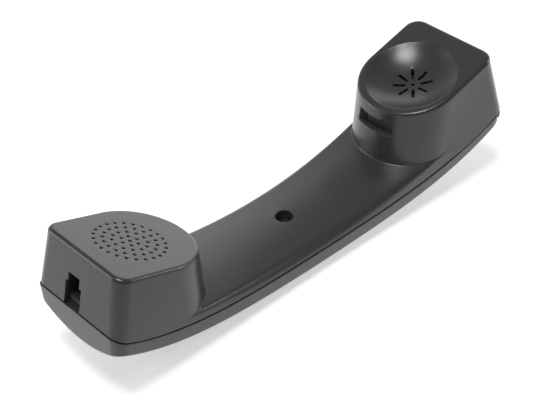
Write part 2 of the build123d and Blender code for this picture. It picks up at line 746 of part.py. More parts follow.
with BuildPart() as front_housing:
    add(front_form())
    add(housing_cavity.part, mode=Mode.SUBTRACT)
    add(parting_band(PARTING_GAP, LENGTH / 2), mode=Mode.INTERSECT)
    add(housing_works.part)
    add(dish_ball.part, mode=Mode.SUBTRACT)
    dish_rim = front_housing.edges().filter_by(GeomType.CIRCLE).filter_by(
        lambda edge: abs(edge.radius - DISH_RADIUS) < SEAM
    )
    fillet(dish_rim, DISH_LIP_ROUND)
    # Star of round-ended slots and its centre hole
    with BuildSketch(receiver_plane):
        Circle(SLOT_CENTRE_RADIUS)
        with PolarLocations((SLOT_START + SLOT_END) / 2, SLOT_COUNT, start_angle=SLOT_TURN):
            SlotOverall(SLOT_END - SLOT_START, SLOT_WIDTH)
    extrude(amount=-seat_depth, mode=Mode.SUBTRACT)
    # Rings of mouthpiece holes
    with BuildSketch(holes_plane):
        Circle(HOLE_RADIUS)
        for number in range(1, HOLE_RINGS + 1):
            with PolarLocations(HOLE_RING_STEP * number, HOLES_PER_RING * number):
                Circle(HOLE_RADIUS)
    extrude(amount=-2 * WALL, mode=Mode.SUBTRACT)
    # Screw well and the hole in its floor
    with BuildSketch(Plane.XY.offset(WELL_FLOOR_TOP)):
        with Locations((BELLY_X, 0)):
            Circle(WELL_RADIUS)
    extrude(amount=PARTING_EAR, mode=Mode.SUBTRACT)
    with BuildSketch(Plane.XY):
        with Locations((BELLY_X, 0)):
            Circle(SCREW_HOLE_RADIUS)
    extrude(amount=PARTING_EAR, mode=Mode.SUBTRACT)
    # Stepped jack opening in the end wall
    add(
        solid_box(
            (-LENGTH, jack_opening_depth_x),
            (JACK_Y - JACK_OPENING / 2, JACK_Y + JACK_OPENING / 2),
            (0, JACK_STEP_HEIGHT),
        ),
        mode=Mode.SUBTRACT,
    )
    add(
        solid_box(
            (-LENGTH, jack_opening_depth_x),
            (JACK_Y - JACK_NOTCH / 2, JACK_Y + JACK_NOTCH / 2),
            (0, JACK_NOTCH_TOP),
        ),
        mode=Mode.SUBTRACT,
    )
    # Pilot holes of the retainer's screws
    for v in (-RETAINER_BOSS_V, RETAINER_BOSS_V):
        with BuildSketch(receiver_plane.offset(-receiver_back)):
            with Locations((RETAINER_BOSS_U, v)):
                Circle(SMALL_SCREW_RADIUS + PILOT_CLEARANCE)
        extrude(amount=SMALL_SCREW_LENGTH, mode=Mode.SUBTRACT)
    # Rounded outline of both cup faces
    for cup in CUPS:
        face = front_housing.faces().filter_by(cup_plane(cup)).sort_by(axis_of(cup_plane(cup)))[-1]
        fillet(face.outer_wire().edges(), TOP_ROUND)
    # Hook pocket
    with BuildSketch(Plane.XY.offset(POCKET_LOW)):
        with BuildLine():
            outside_x = EAR.centre_x - 2 * EAR.inner_reach
            taper_x = POCKET_BACK_X - POCKET_TAPER_DEPTH
            mouth_half = POCKET_WIDTH / 2
            back_half = mouth_half - POCKET_TAPER
            Polyline(
                (outside_x, -mouth_half),
                (taper_x, -mouth_half),
                (POCKET_BACK_X, -back_half),
                (POCKET_BACK_X, back_half),
                (taper_x, mouth_half),
                (outside_x, mouth_half),
                close=True,
            )
        make_face()
    extrude(amount=POCKET_HIGH - POCKET_LOW, mode=Mode.SUBTRACT)

# Back cover: crowned shell with its tongue, ballast cradle, screw boss, jack pillar and snap hooks
with BuildPart() as cover_tongue:
    add(front_form(WALL + FINE_CLEARANCE))
    add(parting_band(-TONGUE_ROOT, TONGUE_HEIGHT), mode=Mode.INTERSECT)

with BuildPart() as cover_rim:
    add(front_form(LEDGE_INSET))
    add(parting_band(-TONGUE_ROOT, 0), mode=Mode.INTERSECT)
    add(cover_tongue.part)
    add(front_form(WALL + FINE_CLEARANCE + TONGUE_THICKNESS), mode=Mode.SUBTRACT)

with BuildPart() as cover_works:
    with BuildSketch(Plane.XY):
        with Locations((BELLY_X, 0)):
            Circle(COVER_BOSS_RADIUS)
    extrude(amount=well_floor_bottom)
    cradle_length = BALLAST_LENGTH + 2 * CLEARANCE
    cradle_width = BALLAST_WIDTH + 2 * CLEARANCE
    with BuildSketch(Plane.XY):
        with Locations((BELLY_X, 0)):
            Rectangle(cradle_length + 2 * CRADLE_WALL, cradle_width + 2 * CRADLE_WALL)
            Rectangle(cradle_length, cradle_width, mode=Mode.SUBTRACT)
    extrude(amount=BALLAST_BOTTOM + CRADLE_HEIGHT)
    for x in CRADLE_RIBS:
        with BuildSketch(Plane.XY):
            with Locations((BELLY_X + x, 0)):
                Rectangle(CRADLE_WALL, cradle_width + CRADLE_WALL)
        extrude(amount=tape_bottom)
    with BuildSketch(Plane.XY):
        with Locations((PILLAR_X, JACK_Y)):
            Rectangle(PILLAR_LENGTH, PILLAR_WIDTH)
    extrude(amount=board_bottom)
    for cup in CUPS:
        face = catch_face(cup) - CLEARANCE
        back = face - HOOK_THICKNESS
        shoulder = parting_height(cup.side * back)
        nub = cup.parting + CATCH_LOW + CATCH_HEIGHT + FINE_CLEARANCE
        low = cup.parting - HOOK_ROOT
        top = cup.parting + HOOK_RISE
        outline = (
            (back, low),
            (LENGTH, low),
            (LENGTH, shoulder),
            (face, shoulder),
            (face, nub),
            (face + HOOK_NUB, nub),
            (face, top),
            (back, top),
        )
        for y in (-HOOK_Y, HOOK_Y):
            with BuildSketch(Plane.XZ.offset(-y - HOOK_WIDTH / 2)):
                with BuildLine():
                    Polyline(*[(cup.side * x, z) for x, z in outline], close=True)
                make_face()
            extrude(amount=HOOK_WIDTH)
    add(cover_form(), mode=Mode.INTERSECT)

with BuildPart() as back_cover:
    add(cover_form())
    rim = back_cover.edges().filter_by(lambda edge: SEAM < edge.bounding_box().max.Z < PARTING_EAR)
    rim = rim.filter_by(lambda edge: abs((edge % 0.5).Z) < RIM_SLOPE_MOST)
    fillet(rim, COVER_EDGE_ROUND)
    add(cover_form(WALL), mode=Mode.SUBTRACT)
    add(parting_band(-PARTING_EAR, 0), mode=Mode.INTERSECT)
    add(cover_rim.part)
    add(cover_works.part)
    with BuildSketch(Plane.XY.offset(WELL_FLOOR_TOP - SCREW_LENGTH - PILOT_SPARE)):
        with Locations((BELLY_X, 0)):
            Circle(SCREW_RADIUS + PILOT_CLEARANCE)
    extrude(amount=WELL_FLOOR_TOP, mode=Mode.SUBTRACT)

# Screw that draws the two shells together
with BuildPart() as grip_screw:
    add(
        screw(
            Plane(origin=(BELLY_X, 0, WELL_FLOOR_TOP)),
            (SCREW_RADIUS, SCREW_LENGTH),
            (SCREW_HEAD_RADIUS, SCREW_HEAD_HEIGHT),
            (DRIVE_LENGTH, DRIVE_WIDTH, DRIVE_DEPTH),
        )
    )

# Steel ballast and the tape under it
with BuildPart() as ballast_bar:
    with BuildSketch(Plane.XY.offset(BALLAST_BOTTOM)):
        with Locations((BELLY_X, 0)):
            RectangleRounded(BALLAST_LENGTH, BALLAST_WIDTH, BALLAST_CORNER)
            Circle(ballast_hole, mode=Mode.SUBTRACT)
    extrude(amount=BALLAST_THICKNESS)

with BuildPart() as ballast_tape:
    with BuildSketch(Plane.XY.offset(tape_bottom)):
        with Locations((BELLY_X, 0)):
            Rectangle(BALLAST_LENGTH - 2 * TAPE_MARGIN, BALLAST_WIDTH - 2 * TAPE_MARGIN)
            Circle(ballast_hole, mode=Mode.SUBTRACT)
    extrude(amount=TAPE_THICKNESS)

# Receiver, from the dish backwards
with BuildPart() as receiver_cloth:
    add(ring(receiver_plane, CAP_RADIUS, 0, seat_depth, seal_depth))

with BuildPart() as receiver_seal:
    add(ring(receiver_plane, CAP_RADIUS, SEAL_INNER, seal_depth, cap_depth))

with BuildPart() as receiver_cap:
    add(ring(receiver_plane, CAP_RADIUS, 0, cap_depth, cap_depth + CAP_THICKNESS))
    add(ring(receiver_plane, CAP_RADIUS, CAP_RADIUS - CAP_SKIRT, cap_depth, cap_depth + CAP_SKIRT_DEPTH))
    clamp_inner = surround_outer - CLAMP_WIDTH
    add(ring(receiver_plane, CAP_RADIUS, clamp_inner, cap_depth, flange_depth))
    with BuildSketch(receiver_plane.offset(-cap_depth)):
        Circle(CAP_HOLE_RADIUS)
        for number in range(1, CAP_HOLE_RINGS + 1):
            with PolarLocations(CAP_HOLE_RING_STEP * number, HOLES_PER_RING * number):
                Circle(CAP_HOLE_RADIUS)
    extrude(amount=-CAP_THICKNESS, mode=Mode.SUBTRACT)

with BuildPart() as receiver_surround:
    roll_outer = surround_outer - SURROUND_FLANGE
    roll_middle = (roll_outer + surround_inner) / 2
    with BuildSketch(receiver_profile):
        with BuildLine():
            Line((surround_outer, -frame_depth), (surround_outer, -flange_depth))
            Line((surround_outer, -flange_depth), (roll_outer, -flange_depth))
            ThreePointArc(
                (roll_outer, -flange_depth),
                (roll_middle, SURROUND_ROLL - flange_depth),
                (surround_inner, -flange_depth),
            )
            Line((surround_inner, -flange_depth), (surround_inner, -frame_depth))
            ThreePointArc(
                (surround_inner, -frame_depth),
                (roll_middle, SURROUND_ROLL - frame_depth),
                (roll_outer, -frame_depth),
            )
            Line((roll_outer, -frame_depth), (surround_outer, -frame_depth))
        make_face()
    revolve(axis=receiver_axis)

with BuildPart() as receiver_dome:
    dome_base = DOME_RADIUS - DOME_FLANGE
    dome_sphere = (dome_base**2 + DOME_RISE**2) / (2 * DOME_RISE)
    shoulder_rise = DOME_RISE - sagitta(dome_sphere, dome_base / 2)
    dome_back = flange_depth + DOME_THICKNESS
    with BuildSketch(receiver_profile):
        with BuildLine():
            Line((0, DOME_RISE - dome_back), (0, DOME_RISE - flange_depth))
            ThreePointArc(
                (0, DOME_RISE - flange_depth),
                (dome_base / 2, shoulder_rise - flange_depth),
                (dome_base, -flange_depth),
            )
            Line((dome_base, -flange_depth), (DOME_RADIUS, -flange_depth))
            Line((DOME_RADIUS, -flange_depth), (DOME_RADIUS, -dome_back))
            Line((DOME_RADIUS, -dome_back), (dome_base, -dome_back))
            ThreePointArc(
                (dome_base, -dome_back),
                (dome_base / 2, shoulder_rise - dome_back),
                (0, DOME_RISE - dome_back),
            )
        make_face()
    revolve(axis=receiver_axis)

with BuildPart() as voice_coil:
    add(ring(receiver_plane, COIL_OUTER, COIL_INNER, dome_back, dome_back + COIL_HEIGHT))

with BuildPart() as receiver_pole_plate:
    add(ring(receiver_plane, POLE_RADIUS, 0, pole_depth, magnet_depth))

with BuildPart() as receiver_magnet:
    add(ring(receiver_plane, MAGNET_RADIUS, 0, magnet_depth, yoke_floor_depth))

with BuildPart() as receiver_yoke:
    add(ring(receiver_plane, YOKE_OUTER, YOKE_INNER, pole_depth, yoke_floor_depth))
    add(ring(receiver_plane, YOKE_OUTER, 0, yoke_floor_depth, receiver_back))

with BuildPart() as receiver_frame:
    add(ring(receiver_plane, frame_outer, frame_outer - FRAME_LIP, frame_depth, board_depth))
    add(ring(receiver_plane, frame_outer, frame_inner, frame_floor_depth, board_depth))
    with BuildSketch(receiver_plane.offset(-board_depth)):
        with PolarLocations((frame_inner + frame_outer - FRAME_LIP) / 2, FRAME_VENTS):
            Circle(FRAME_VENT_RADIUS)
    extrude(amount=FRAME_FLOOR, mode=Mode.SUBTRACT)

board_sector = sector(BOARD_HALF_ANGLE)
with BuildPart() as receiver_board:
    with BuildSketch(receiver_plane.offset(-board_back)):
        Circle(frame_outer - BOARD_MARGIN)
        Circle(frame_inner + BOARD_MARGIN, mode=Mode.SUBTRACT)
        add(board_sector, mode=Mode.INTERSECT)
    extrude(amount=BOARD_THICKNESS)

with BuildPart() as surge_suppressor:
    turn = radians(180 - SUPPRESSOR_ANGLE)
    with BuildSketch(receiver_plane.offset(-board_back)):
        with Locations((board_radius * cos(turn), board_radius * sin(turn))):
            Circle(SUPPRESSOR_RADIUS)
    extrude(amount=-SUPPRESSOR_THICKNESS)

retainer_sector = sector(RETAINER_GAP_ANGLE)
with BuildPart() as receiver_retainer:
    with BuildSketch(receiver_plane.offset(-retainer_back)):
        Circle(tube_outer)
        for v in (-RETAINER_BOSS_V, RETAINER_BOSS_V):
            ear_middle = (RETAINER_BOSS_U * RETAINER_EAR_MIDDLE, v * RETAINER_EAR_MIDDLE)
            SlotCenterPoint(ear_middle, (RETAINER_BOSS_U, v), 2 * RETAINER_EAR_RADIUS)
        Circle(RETAINER_INNER, mode=Mode.SUBTRACT)
        add(retainer_sector, mode=Mode.SUBTRACT)
        with Locations(*[(RETAINER_BOSS_U, v) for v in (-RETAINER_BOSS_V, RETAINER_BOSS_V)]):
            Circle(SMALL_SCREW_RADIUS + CLEARANCE, mode=Mode.SUBTRACT)
    extrude(amount=RETAINER_THICKNESS)

with BuildPart() as retainer_screws:
    for v in (-RETAINER_BOSS_V, RETAINER_BOSS_V):
        seat = local_point(receiver_plane, RETAINER_BOSS_U, v, retainer_back)
        add(
            screw(
                Plane(origin=seat, z_dir=-receiver_plane.z_dir),
                (SMALL_SCREW_RADIUS, SMALL_SCREW_LENGTH),
                (SMALL_HEAD_RADIUS, SMALL_HEAD_HEIGHT),
                (SMALL_DRIVE_LENGTH, SMALL_DRIVE_WIDTH, SMALL_DRIVE_DEPTH),
            )
        )

# Microphone, from the face backwards
with BuildPart() as mic_cloth:
    add(ring(mic_plane, boot_outer, 0, WALL, boot_depth))

with BuildPart() as mic_boot:
    add(ring(mic_plane, boot_outer, CAN_RADIUS + BOOT_GRIP, boot_depth, boot_depth + BOOT_DEPTH))
    add(ring(mic_plane, boot_outer, BOOT_MOUTH_RADIUS, boot_depth, felt_depth))

with BuildPart() as mic_felt:
    add(ring(mic_plane, CAN_RADIUS, 0, felt_depth, can_depth))

with BuildPart() as mic_can:
    add(ring(mic_plane, CAN_RADIUS, CAN_RADIUS - CAN_WALL, can_depth, mic_board_depth))
    add(ring(mic_plane, CAN_RADIUS, CAN_SOUND_RADIUS, can_depth, can_depth + CAN_WALL))
    crimp_inner = CAN_RADIUS - CAN_WALL - CAN_CRIMP
    add(ring(mic_plane, CAN_RADIUS, crimp_inner, mic_board_depth - CAN_WALL, mic_board_depth))

with BuildPart() as mic_board:
    add(ring(mic_plane, CAN_RADIUS, 0, mic_board_depth, mic_back))

# Jack: moulded body with its cavity, latch channel and wire grooves
with BuildPart() as jack_body:
    front_low = -end_wall_x(MOUTH, JACK_BOTTOM, WALL + CLEARANCE)
    front_high = -end_wall_x(MOUTH, JACK_TOP, WALL + CLEARANCE)
    with BuildSketch(Plane.XZ.offset(-JACK_Y - JACK_WIDTH / 2)):
        with BuildLine():
            Polyline(
                (front_low, JACK_BOTTOM),
                (JACK_BACK_X, JACK_BOTTOM),
                (JACK_BACK_X, JACK_TOP),
                (front_high, JACK_TOP),
                close=True,
            )
        make_face()
    extrude(amount=JACK_WIDTH)
    for back_x, width, low, top in (
        (JACK_CAVITY_BACK_X, JACK_CAVITY_WIDTH, jack_floor_top, JACK_STEP_HEIGHT),
        (LATCH_STEP_X, JACK_NOTCH, JACK_STEP_HEIGHT, JACK_NOTCH_TOP),
        (JACK_CAVITY_BACK_X, LATCH_WIDTH, JACK_STEP_HEIGHT, JACK_NOTCH_TOP),
    ):
        ys = (JACK_Y - width / 2, JACK_Y + width / 2)
        add(solid_box((-LENGTH, back_x), ys, (low, top)), mode=Mode.SUBTRACT)
    groove_half = LEAD_GROOVE / 2
    groove_front = PIVOT_X - LEAD_GAP - groove_half - WIRE_RADIUS
    tail = (TAIL_X - groove_half, TAIL_X + groove_half)
    for y in wire_ys:
        ys = (y - groove_half, y + groove_half)
        heights = (lead_height - groove_half, jack_floor_top)
        add(solid_box((groove_front, tail[1]), ys, heights), mode=Mode.SUBTRACT)
        add(solid_box(tail, ys, (0, jack_floor_top)), mode=Mode.SUBTRACT)

# Sprung contact wires, which rise from their bends at the jack's mouth
with BuildPart() as jack_contacts:
    for y in wire_ys:
        root = Vector(PIVOT_X, y, pivot_height)
        reach = Vector(CONTACT_RUN, 0, CONTACT_RISE)
        with BuildSketch(Plane(origin=root, z_dir=reach)):
            Circle(WIRE_RADIUS)
        extrude(amount=reach.length)

# Fixed ends of the contact wires, from their bends to the board
with BuildPart() as jack_leads:
    for y in wire_ys:
        lead_points = (
            (PIVOT_X - LEAD_GAP, y, pivot_height),
            (PIVOT_X - LEAD_GAP, y, lead_height),
            (TAIL_X, y, lead_height),
            (TAIL_X, y, board_bottom - TAIL_BELOW),
        )
        add(wire(lead_points, WIRE_RADIUS, LEAD_BEND))

with BuildPart() as jack_board:
    with BuildSketch(Plane.XY.offset(board_bottom)):
        with Locations(((JACK_BOARD_FRONT_X + JACK_BOARD_BACK_X) / 2, JACK_Y)):
            Rectangle(JACK_BOARD_BACK_X - JACK_BOARD_FRONT_X, JACK_BOARD_WIDTH)
        with Locations(*[(TAIL_X, y) for y in wire_ys]):
            Circle(groove_half, mode=Mode.SUBTRACT)
    extrude(amount=JACK_BOARD_THICKNESS)

# Two leads from the receiver's board along the grip, and two from the microphone
with BuildPart() as receiver_leads:
    for side in (-1, 1):
        points = [
            tuple(local_point(receiver_plane, -board_radius, side * RECEIVER_LEAD_HALF, depth))
            for depth in (board_back, board_back + LEAD_EXIT)
        ]
        points += [(x, y + side * dy, z + side * dz) for x, y, z, dy, dz in RECEIVER_ROUTE]
        board_x, board_y, lift = BOARD_APPROACH
        points += [(board_x, board_y + side * RECEIVER_LEAD_HALF, board_top + rise) for rise in (lift, 0)]
        bends = bend_radii(points)
        print("receiver lead bends", [round(bend, 1) for bend in bends])
        add(wire(points, LEAD_RADIUS, bends))

with BuildPart() as mic_leads:
    for y in (-MIC_LEAD_HALF, MIC_LEAD_HALF):
        depths = (mic_back, mic_back + MIC_LEAD_EXIT)
        points = [tuple(local_point(mic_plane, 0, -y, depth)) for depth in depths]
        points += [(MIC_LEAD_X, y, board_top + MIC_LEAD_LIFT), (MIC_LEAD_X, y, board_top)]
        bends = bend_radii(points)
        print("microphone lead bends", [round(bend, 1) for bend in bends])
        add(wire(points, LEAD_RADIUS, bends))

os.makedirs("parts", exist_ok=True)
PIECES = {
    "front_housing": front_housing,
    "back_cover": back_cover,
    "grip_screw": grip_screw,
    "ballast_bar": ballast_bar,
    "ballast_tape": ballast_tape,
    "receiver_cloth": receiver_cloth,
    "receiver_seal": receiver_seal,
    "receiver_cap": receiver_cap,
    "receiver_surround": receiver_surround,
    "receiver_dome": receiver_dome,
    "voice_coil": voice_coil,
    "receiver_pole_plate": receiver_pole_plate,
    "receiver_magnet": receiver_magnet,
    "receiver_yoke": receiver_yoke,
    "receiver_frame": receiver_frame,
    "receiver_board": receiver_board,
    "surge_suppressor": surge_suppressor,
    "receiver_retainer": receiver_retainer,
    "retainer_screws": retainer_screws,
    "mic_cloth": mic_cloth,
    "mic_boot": mic_boot,
    "mic_felt": mic_felt,
    "mic_can": mic_can,
    "mic_board": mic_board,
    "jack_body": jack_body,
    "jack_contacts": jack_contacts,
    "jack_leads": jack_leads,
    "jack_board": jack_board,
    "receiver_leads": receiver_leads,
    "mic_leads": mic_leads,
}
for name, piece in PIECES.items():
    piece.part.label = name
    export_step(piece.part, f"parts/{name}.step")
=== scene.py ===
"""Corded telephone handset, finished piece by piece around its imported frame.

The frame gives every rigid piece at its real size and place. This script softens the moulded
edges of the two shells, dresses every piece in its own finish, colours the leads and solders
them to their boards, and sets the handset on a pale studio floor.
"""

from __future__ import annotations

import logging
import math
from collections.abc import Callable, Iterable
from dataclasses import dataclass, field
from enum import Enum

import bmesh
import bpy
from mathutils import Matrix, Vector
from mathutils.bvhtree import BVHTree


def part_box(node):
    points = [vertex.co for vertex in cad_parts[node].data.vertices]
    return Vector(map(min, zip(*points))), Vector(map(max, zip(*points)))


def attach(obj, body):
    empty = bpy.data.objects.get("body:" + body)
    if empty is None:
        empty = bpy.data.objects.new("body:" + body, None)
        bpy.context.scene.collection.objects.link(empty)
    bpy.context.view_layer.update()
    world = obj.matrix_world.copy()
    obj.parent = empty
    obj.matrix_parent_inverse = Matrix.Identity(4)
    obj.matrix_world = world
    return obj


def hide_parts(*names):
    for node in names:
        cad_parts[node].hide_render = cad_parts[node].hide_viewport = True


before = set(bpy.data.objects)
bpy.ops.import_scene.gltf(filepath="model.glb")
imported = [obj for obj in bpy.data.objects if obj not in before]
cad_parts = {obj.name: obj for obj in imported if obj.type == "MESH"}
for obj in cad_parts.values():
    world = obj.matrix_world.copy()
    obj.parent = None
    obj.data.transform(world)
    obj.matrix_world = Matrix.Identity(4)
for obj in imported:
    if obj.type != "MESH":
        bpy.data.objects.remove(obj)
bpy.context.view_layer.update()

LOG = logging.getLogger("handset")
MM = 0.001
CASING = "casing"

Colour = tuple[float, float, float, float]
Place = tuple[float, float, float]
Range = tuple[float, float]
Box = tuple[Place, Place]
Socket = bpy.types.NodeSocket
WHITE: Colour = (1.0, 1.0, 1.0, 1.0)


def tint(value: float, warmth: float = 0.0) -> Colour:
    """Make a nearly neutral linear colour, warmer for a positive warmth."""
    return (value * (1 + warmth), value, value * (1 - warmth), 1.0)


def drop_imported_normals(data: bpy.types.Mesh) -> None:
    """Drop the corner normals that came with the frame, so that shading follows the new faces."""
    imported = data.attributes.get("custom_normal")
    if imported is not None:
        data.attributes.remove(imported)


class Effect(Enum):
    """Shader node groups that several finishes share."""

    GRAIN = "moulded_grain"
    DRIFT = "tone_drift"
    MARKS = "handling_marks"
    DUST = "settled_dust"


class Tree:
    """A node tree with short ways to add and join its nodes."""

    def __init__(self, tree: bpy.types.NodeTree) -> None:
        """Keep the tree that the nodes go into."""
        self.tree = tree

    def node(self, kind: str, **values: object) -> bpy.types.Node:
        """Add a node.

        Args:
            kind: The node's Blender type, such as ShaderNodeMath.
            **values: The node's own properties and their values.

        Returns:
            The new node.
        """
        made = self.tree.nodes.new(kind)
        for name, value in values.items():
            setattr(made, name, value)
        return made

    def feed(self, socket: Socket, value: object) -> None:
        """Link a socket to another, or set its value.

        Args:
            socket: The input to feed.
            value: An output socket, a number, or a colour or vector.
        """
        if isinstance(value, bpy.types.NodeSocket):
            self.tree.links.new(value, socket)
        else:
            socket.default_value = value

    def math(self, operation: str, first: object, second: object = 0.0) -> Socket:
        """Add a Math node.

        Args:
            operation: The node's operation, such as MULTIPLY.
            first: A socket or a number.
            second: A socket or a number.

        Returns:
            The node's value.
        """
        made = self.node("ShaderNodeMath", operation=operation)
        self.feed(made.inputs[0], first)
        self.feed(made.inputs[1], second)
        return made.outputs[0]

    def between(self, value: Socket, source: Range, target: Range) -> Socket:
        """Map a value from one range to another, held at both ends.

        Args:
            value: The value to map.
            source: The range that it comes from.
            target: The range that it goes to.

        Returns:
            The mapped value.
        """
        made = self.node("ShaderNodeMapRange", clamp=True)
        self.feed(made.inputs["Value"], value)
        names = ("From Min", "From Max", "To Min", "To Max")
        for name, number in zip(names, (*source, *target)):
            made.inputs[name].default_value = number
        return made.outputs["Result"]

    def noise(self, vector: Socket, scale: object, detail: float = 2.0, rough: float = 0.5) -> Socket:
        """Add a noise texture.

        Args:
            vector: The coordinates to read it at.
            scale: Waves per metre, a number or a socket.
            detail: Octaves of finer noise.
            rough: How strong the finer noise is.

        Returns:
            The noise, from 0 to 1.
        """
        made = self.node("ShaderNodeTexNoise")
        self.feed(made.inputs["Vector"], vector)
        self.feed(made.inputs["Scale"], scale)
        made.inputs["Detail"].default_value = detail
        made.inputs["Roughness"].default_value = rough
        return made.outputs["Fac"]

    def stretch(self, vector: Socket, scale: Place, turn: float = 0.0) -> Socket:
        """Scale and turn coordinates.

        Args:
            vector: The coordinates.
            scale: The factor along each axis.
            turn: The turn about Z, in radians, with half of it about X and a third about Y.

        Returns:
            The new coordinates.
        """
        made = self.node("ShaderNodeMapping")
        self.feed(made.inputs["Vector"], vector)
        made.inputs["Scale"].default_value = scale
        made.inputs["Rotation"].default_value = (turn / 2, turn / 3, turn)
        return made.outputs["Vector"]

    def blend(self, share: object, low: object, high: object) -> Socket:
        """Mix two colours.

        Args:
            share: How much of the second colour, a socket or a number.
            low: The first colour.
            high: The second colour.

        Returns:
            The mixed colour.
        """
        made = self.node("ShaderNodeMix", data_type="RGBA")
        self.feed(made.inputs["Factor"], share)
        self.feed(made.inputs["A"], low)
        self.feed(made.inputs["B"], high)
        return made.outputs["Result"]

    def place(self) -> Socket:
        """Give the coordinates of the piece itself, in metres."""
        return self.node("ShaderNodeTexCoord").outputs["Object"]

    def about(self, centre: Place, tilt: float) -> Socket:
        """Give the piece's coordinates from an axis of its own.

        Args:
            centre: A point on the axis, in metres.
            tilt: The turn of the axis about Y, in radians.

        Returns:
            Coordinates whose Z runs along the axis.
        """
        made = self.node("ShaderNodeMapping", vector_type="TEXTURE")
        self.feed(made.inputs["Vector"], self.place())
        made.inputs["Location"].default_value = centre
        made.inputs["Rotation"].default_value = (0.0, tilt, 0.0)
        return made.outputs["Vector"]


@dataclass
class EffectLibrary:
    """Builds each shared effect once and hands out its node group."""

    fine_ratio: float = 2.1
    fine_share: float = 0.5
    cloud_reach: Range = (0.3, 0.7)
    mark_directions: tuple[float, ...] = (0.35, 1.25, 2.2)
    mark_stretch: Place = (1.0, 14.0, 14.0)
    mark_width: float = 0.004
    patch_scale: float = 45.0
    patch_reach: Range = (0.56, 0.68)
    speck_edge: Range = (0.05, 0.16)
    speck_choice: Range = (0.86, 0.96)
    speck_slope: Range = (0.3, 0.95)
    groups: dict[Effect, bpy.types.NodeTree] = field(default_factory=dict)

    def group(self, effect: Effect) -> bpy.types.NodeTree:
        """Give the node group of an effect, made on first use.

        Args:
            effect: The effect.

        Returns:
            Its node group.
        """
        if effect not in self.groups:
            makers: dict[Effect, Callable[[], bpy.types.NodeTree]] = {
                Effect.GRAIN: self.make_grain,
                Effect.DRIFT: self.make_drift,
                Effect.MARKS: self.make_marks,
                Effect.DUST: self.make_dust,
            }
            self.groups[effect] = makers[effect]()
        return self.groups[effect]

    def use(self, tree: Tree, effect: Effect, **values: float) -> Socket:
        """Place an effect in a material.

        Args:
            tree: The material's tree.
            effect: The effect.
            **values: The group's inputs, by name, such as Scale.

        Returns:
            The effect's output.
        """
        made = tree.node("ShaderNodeGroup", node_tree=self.group(effect))
        for name, value in values.items():
            made.inputs[name].default_value = value
        return made.outputs[0]

    def start(
        self, effect: Effect, inputs: dict[str, float], output: str
    ) -> tuple[Tree, Socket, dict[str, Socket]]:
        """Start a node group.

        Args:
            effect: The effect that the group is for.
            inputs: Names and starting values of its inputs.
            output: The name of its output.

        Returns:
            The tree, the output's socket inside it, and its inputs by name.
        """
        group = bpy.data.node_groups.new(effect.value, "ShaderNodeTree")
        for name, value in inputs.items():
            socket = group.interface.new_socket(name=name, in_out="INPUT", socket_type="NodeSocketFloat")
            socket.default_value = value
        group.interface.new_socket(name=output, in_out="OUTPUT", socket_type="NodeSocketFloat")
        tree = Tree(group)
        entry = tree.node("NodeGroupInput")
        leaving = tree.node("NodeGroupOutput")
        return tree, leaving.inputs[output], {name: entry.outputs[name] for name in inputs}

    def make_grain(self) -> bpy.types.NodeTree:
        """Fine pebbled texture of a spark-eroded mould, as a height."""
        tree, leaving, given = self.start(Effect.GRAIN, {"Scale": 3000.0}, "Height")
        place = tree.place()
        pebbles = tree.node("ShaderNodeTexVoronoi", feature="SMOOTH_F1")
        tree.feed(pebbles.inputs["Vector"], place)
        tree.feed(pebbles.inputs["Scale"], given["Scale"])
        fine_scale = tree.math("MULTIPLY", given["Scale"], self.fine_ratio)
        fine = tree.noise(place, fine_scale, detail=2.0, rough=0.6)
        share = tree.math("MULTIPLY", fine, self.fine_share)
        tree.feed(leaving, tree.math("ADD", share, pebbles.outputs["Distance"]))
        return tree.tree

    def make_drift(self) -> bpy.types.NodeTree:
        """Slow unevenness of tone over a surface, from -1 to 1."""
        tree, leaving, given = self.start(Effect.DRIFT, {"Scale": 30.0}, "Value")
        cloud = tree.noise(tree.place(), given["Scale"], detail=3.0, rough=0.55)
        tree.feed(leaving, tree.between(cloud, self.cloud_reach, (-1.0, 1.0)))
        return tree.tree

    def make_marks(self) -> bpy.types.NodeTree:
        """Sparse hairline scratches in a few directions, as a mask."""
        tree, leaving, given = self.start(Effect.MARKS, {"Scale": 60.0, "Amount": 0.5}, "Mask")
        place = tree.place()
        total: object = 0.0
        for turn in self.mark_directions:
            along = tree.stretch(place, self.mark_stretch, turn)
            streak = tree.noise(along, given["Scale"], detail=1.0, rough=0.4)
            away = tree.math("ABSOLUTE", tree.math("SUBTRACT", streak, 0.5))
            line = tree.between(away, (0.0, self.mark_width), (1.0, 0.0))
            total = tree.math("MAXIMUM", total, line)
        cloud = tree.noise(place, self.patch_scale, detail=1.0)
        patch = tree.between(cloud, self.patch_reach, (0.0, 1.0))
        tree.feed(leaving, tree.math("MULTIPLY", tree.math("MULTIPLY", total, patch), given["Amount"]))
        return tree.tree

    def make_dust(self) -> bpy.types.NodeTree:
        """Specks of dust on surfaces that face up, as a mask."""
        tree, leaving, given = self.start(Effect.DUST, {"Scale": 700.0, "Amount": 0.5}, "Mask")
        cells = tree.node("ShaderNodeTexVoronoi", feature="F1")
        tree.feed(cells.inputs["Vector"], tree.place())
        tree.feed(cells.inputs["Scale"], given["Scale"])
        dot = tree.between(cells.outputs["Distance"], self.speck_edge, (1.0, 0.0))
        chosen = tree.node("ShaderNodeSeparateColor")
        tree.feed(chosen.inputs[0], cells.outputs["Color"])
        rare = tree.between(chosen.outputs[0], self.speck_choice, (0.0, 1.0))
        facing = tree.node("ShaderNodeSeparateXYZ")
        tree.feed(facing.inputs[0], tree.node("ShaderNodeNewGeometry").outputs["Normal"])
        up = tree.between(facing.outputs["Z"], self.speck_slope, (0.0, 1.0))
        speck = tree.math("MULTIPLY", tree.math("MULTIPLY", dot, rare), up)
        tree.feed(leaving, tree.math("MULTIPLY", speck, given["Amount"]))
        return tree.tree


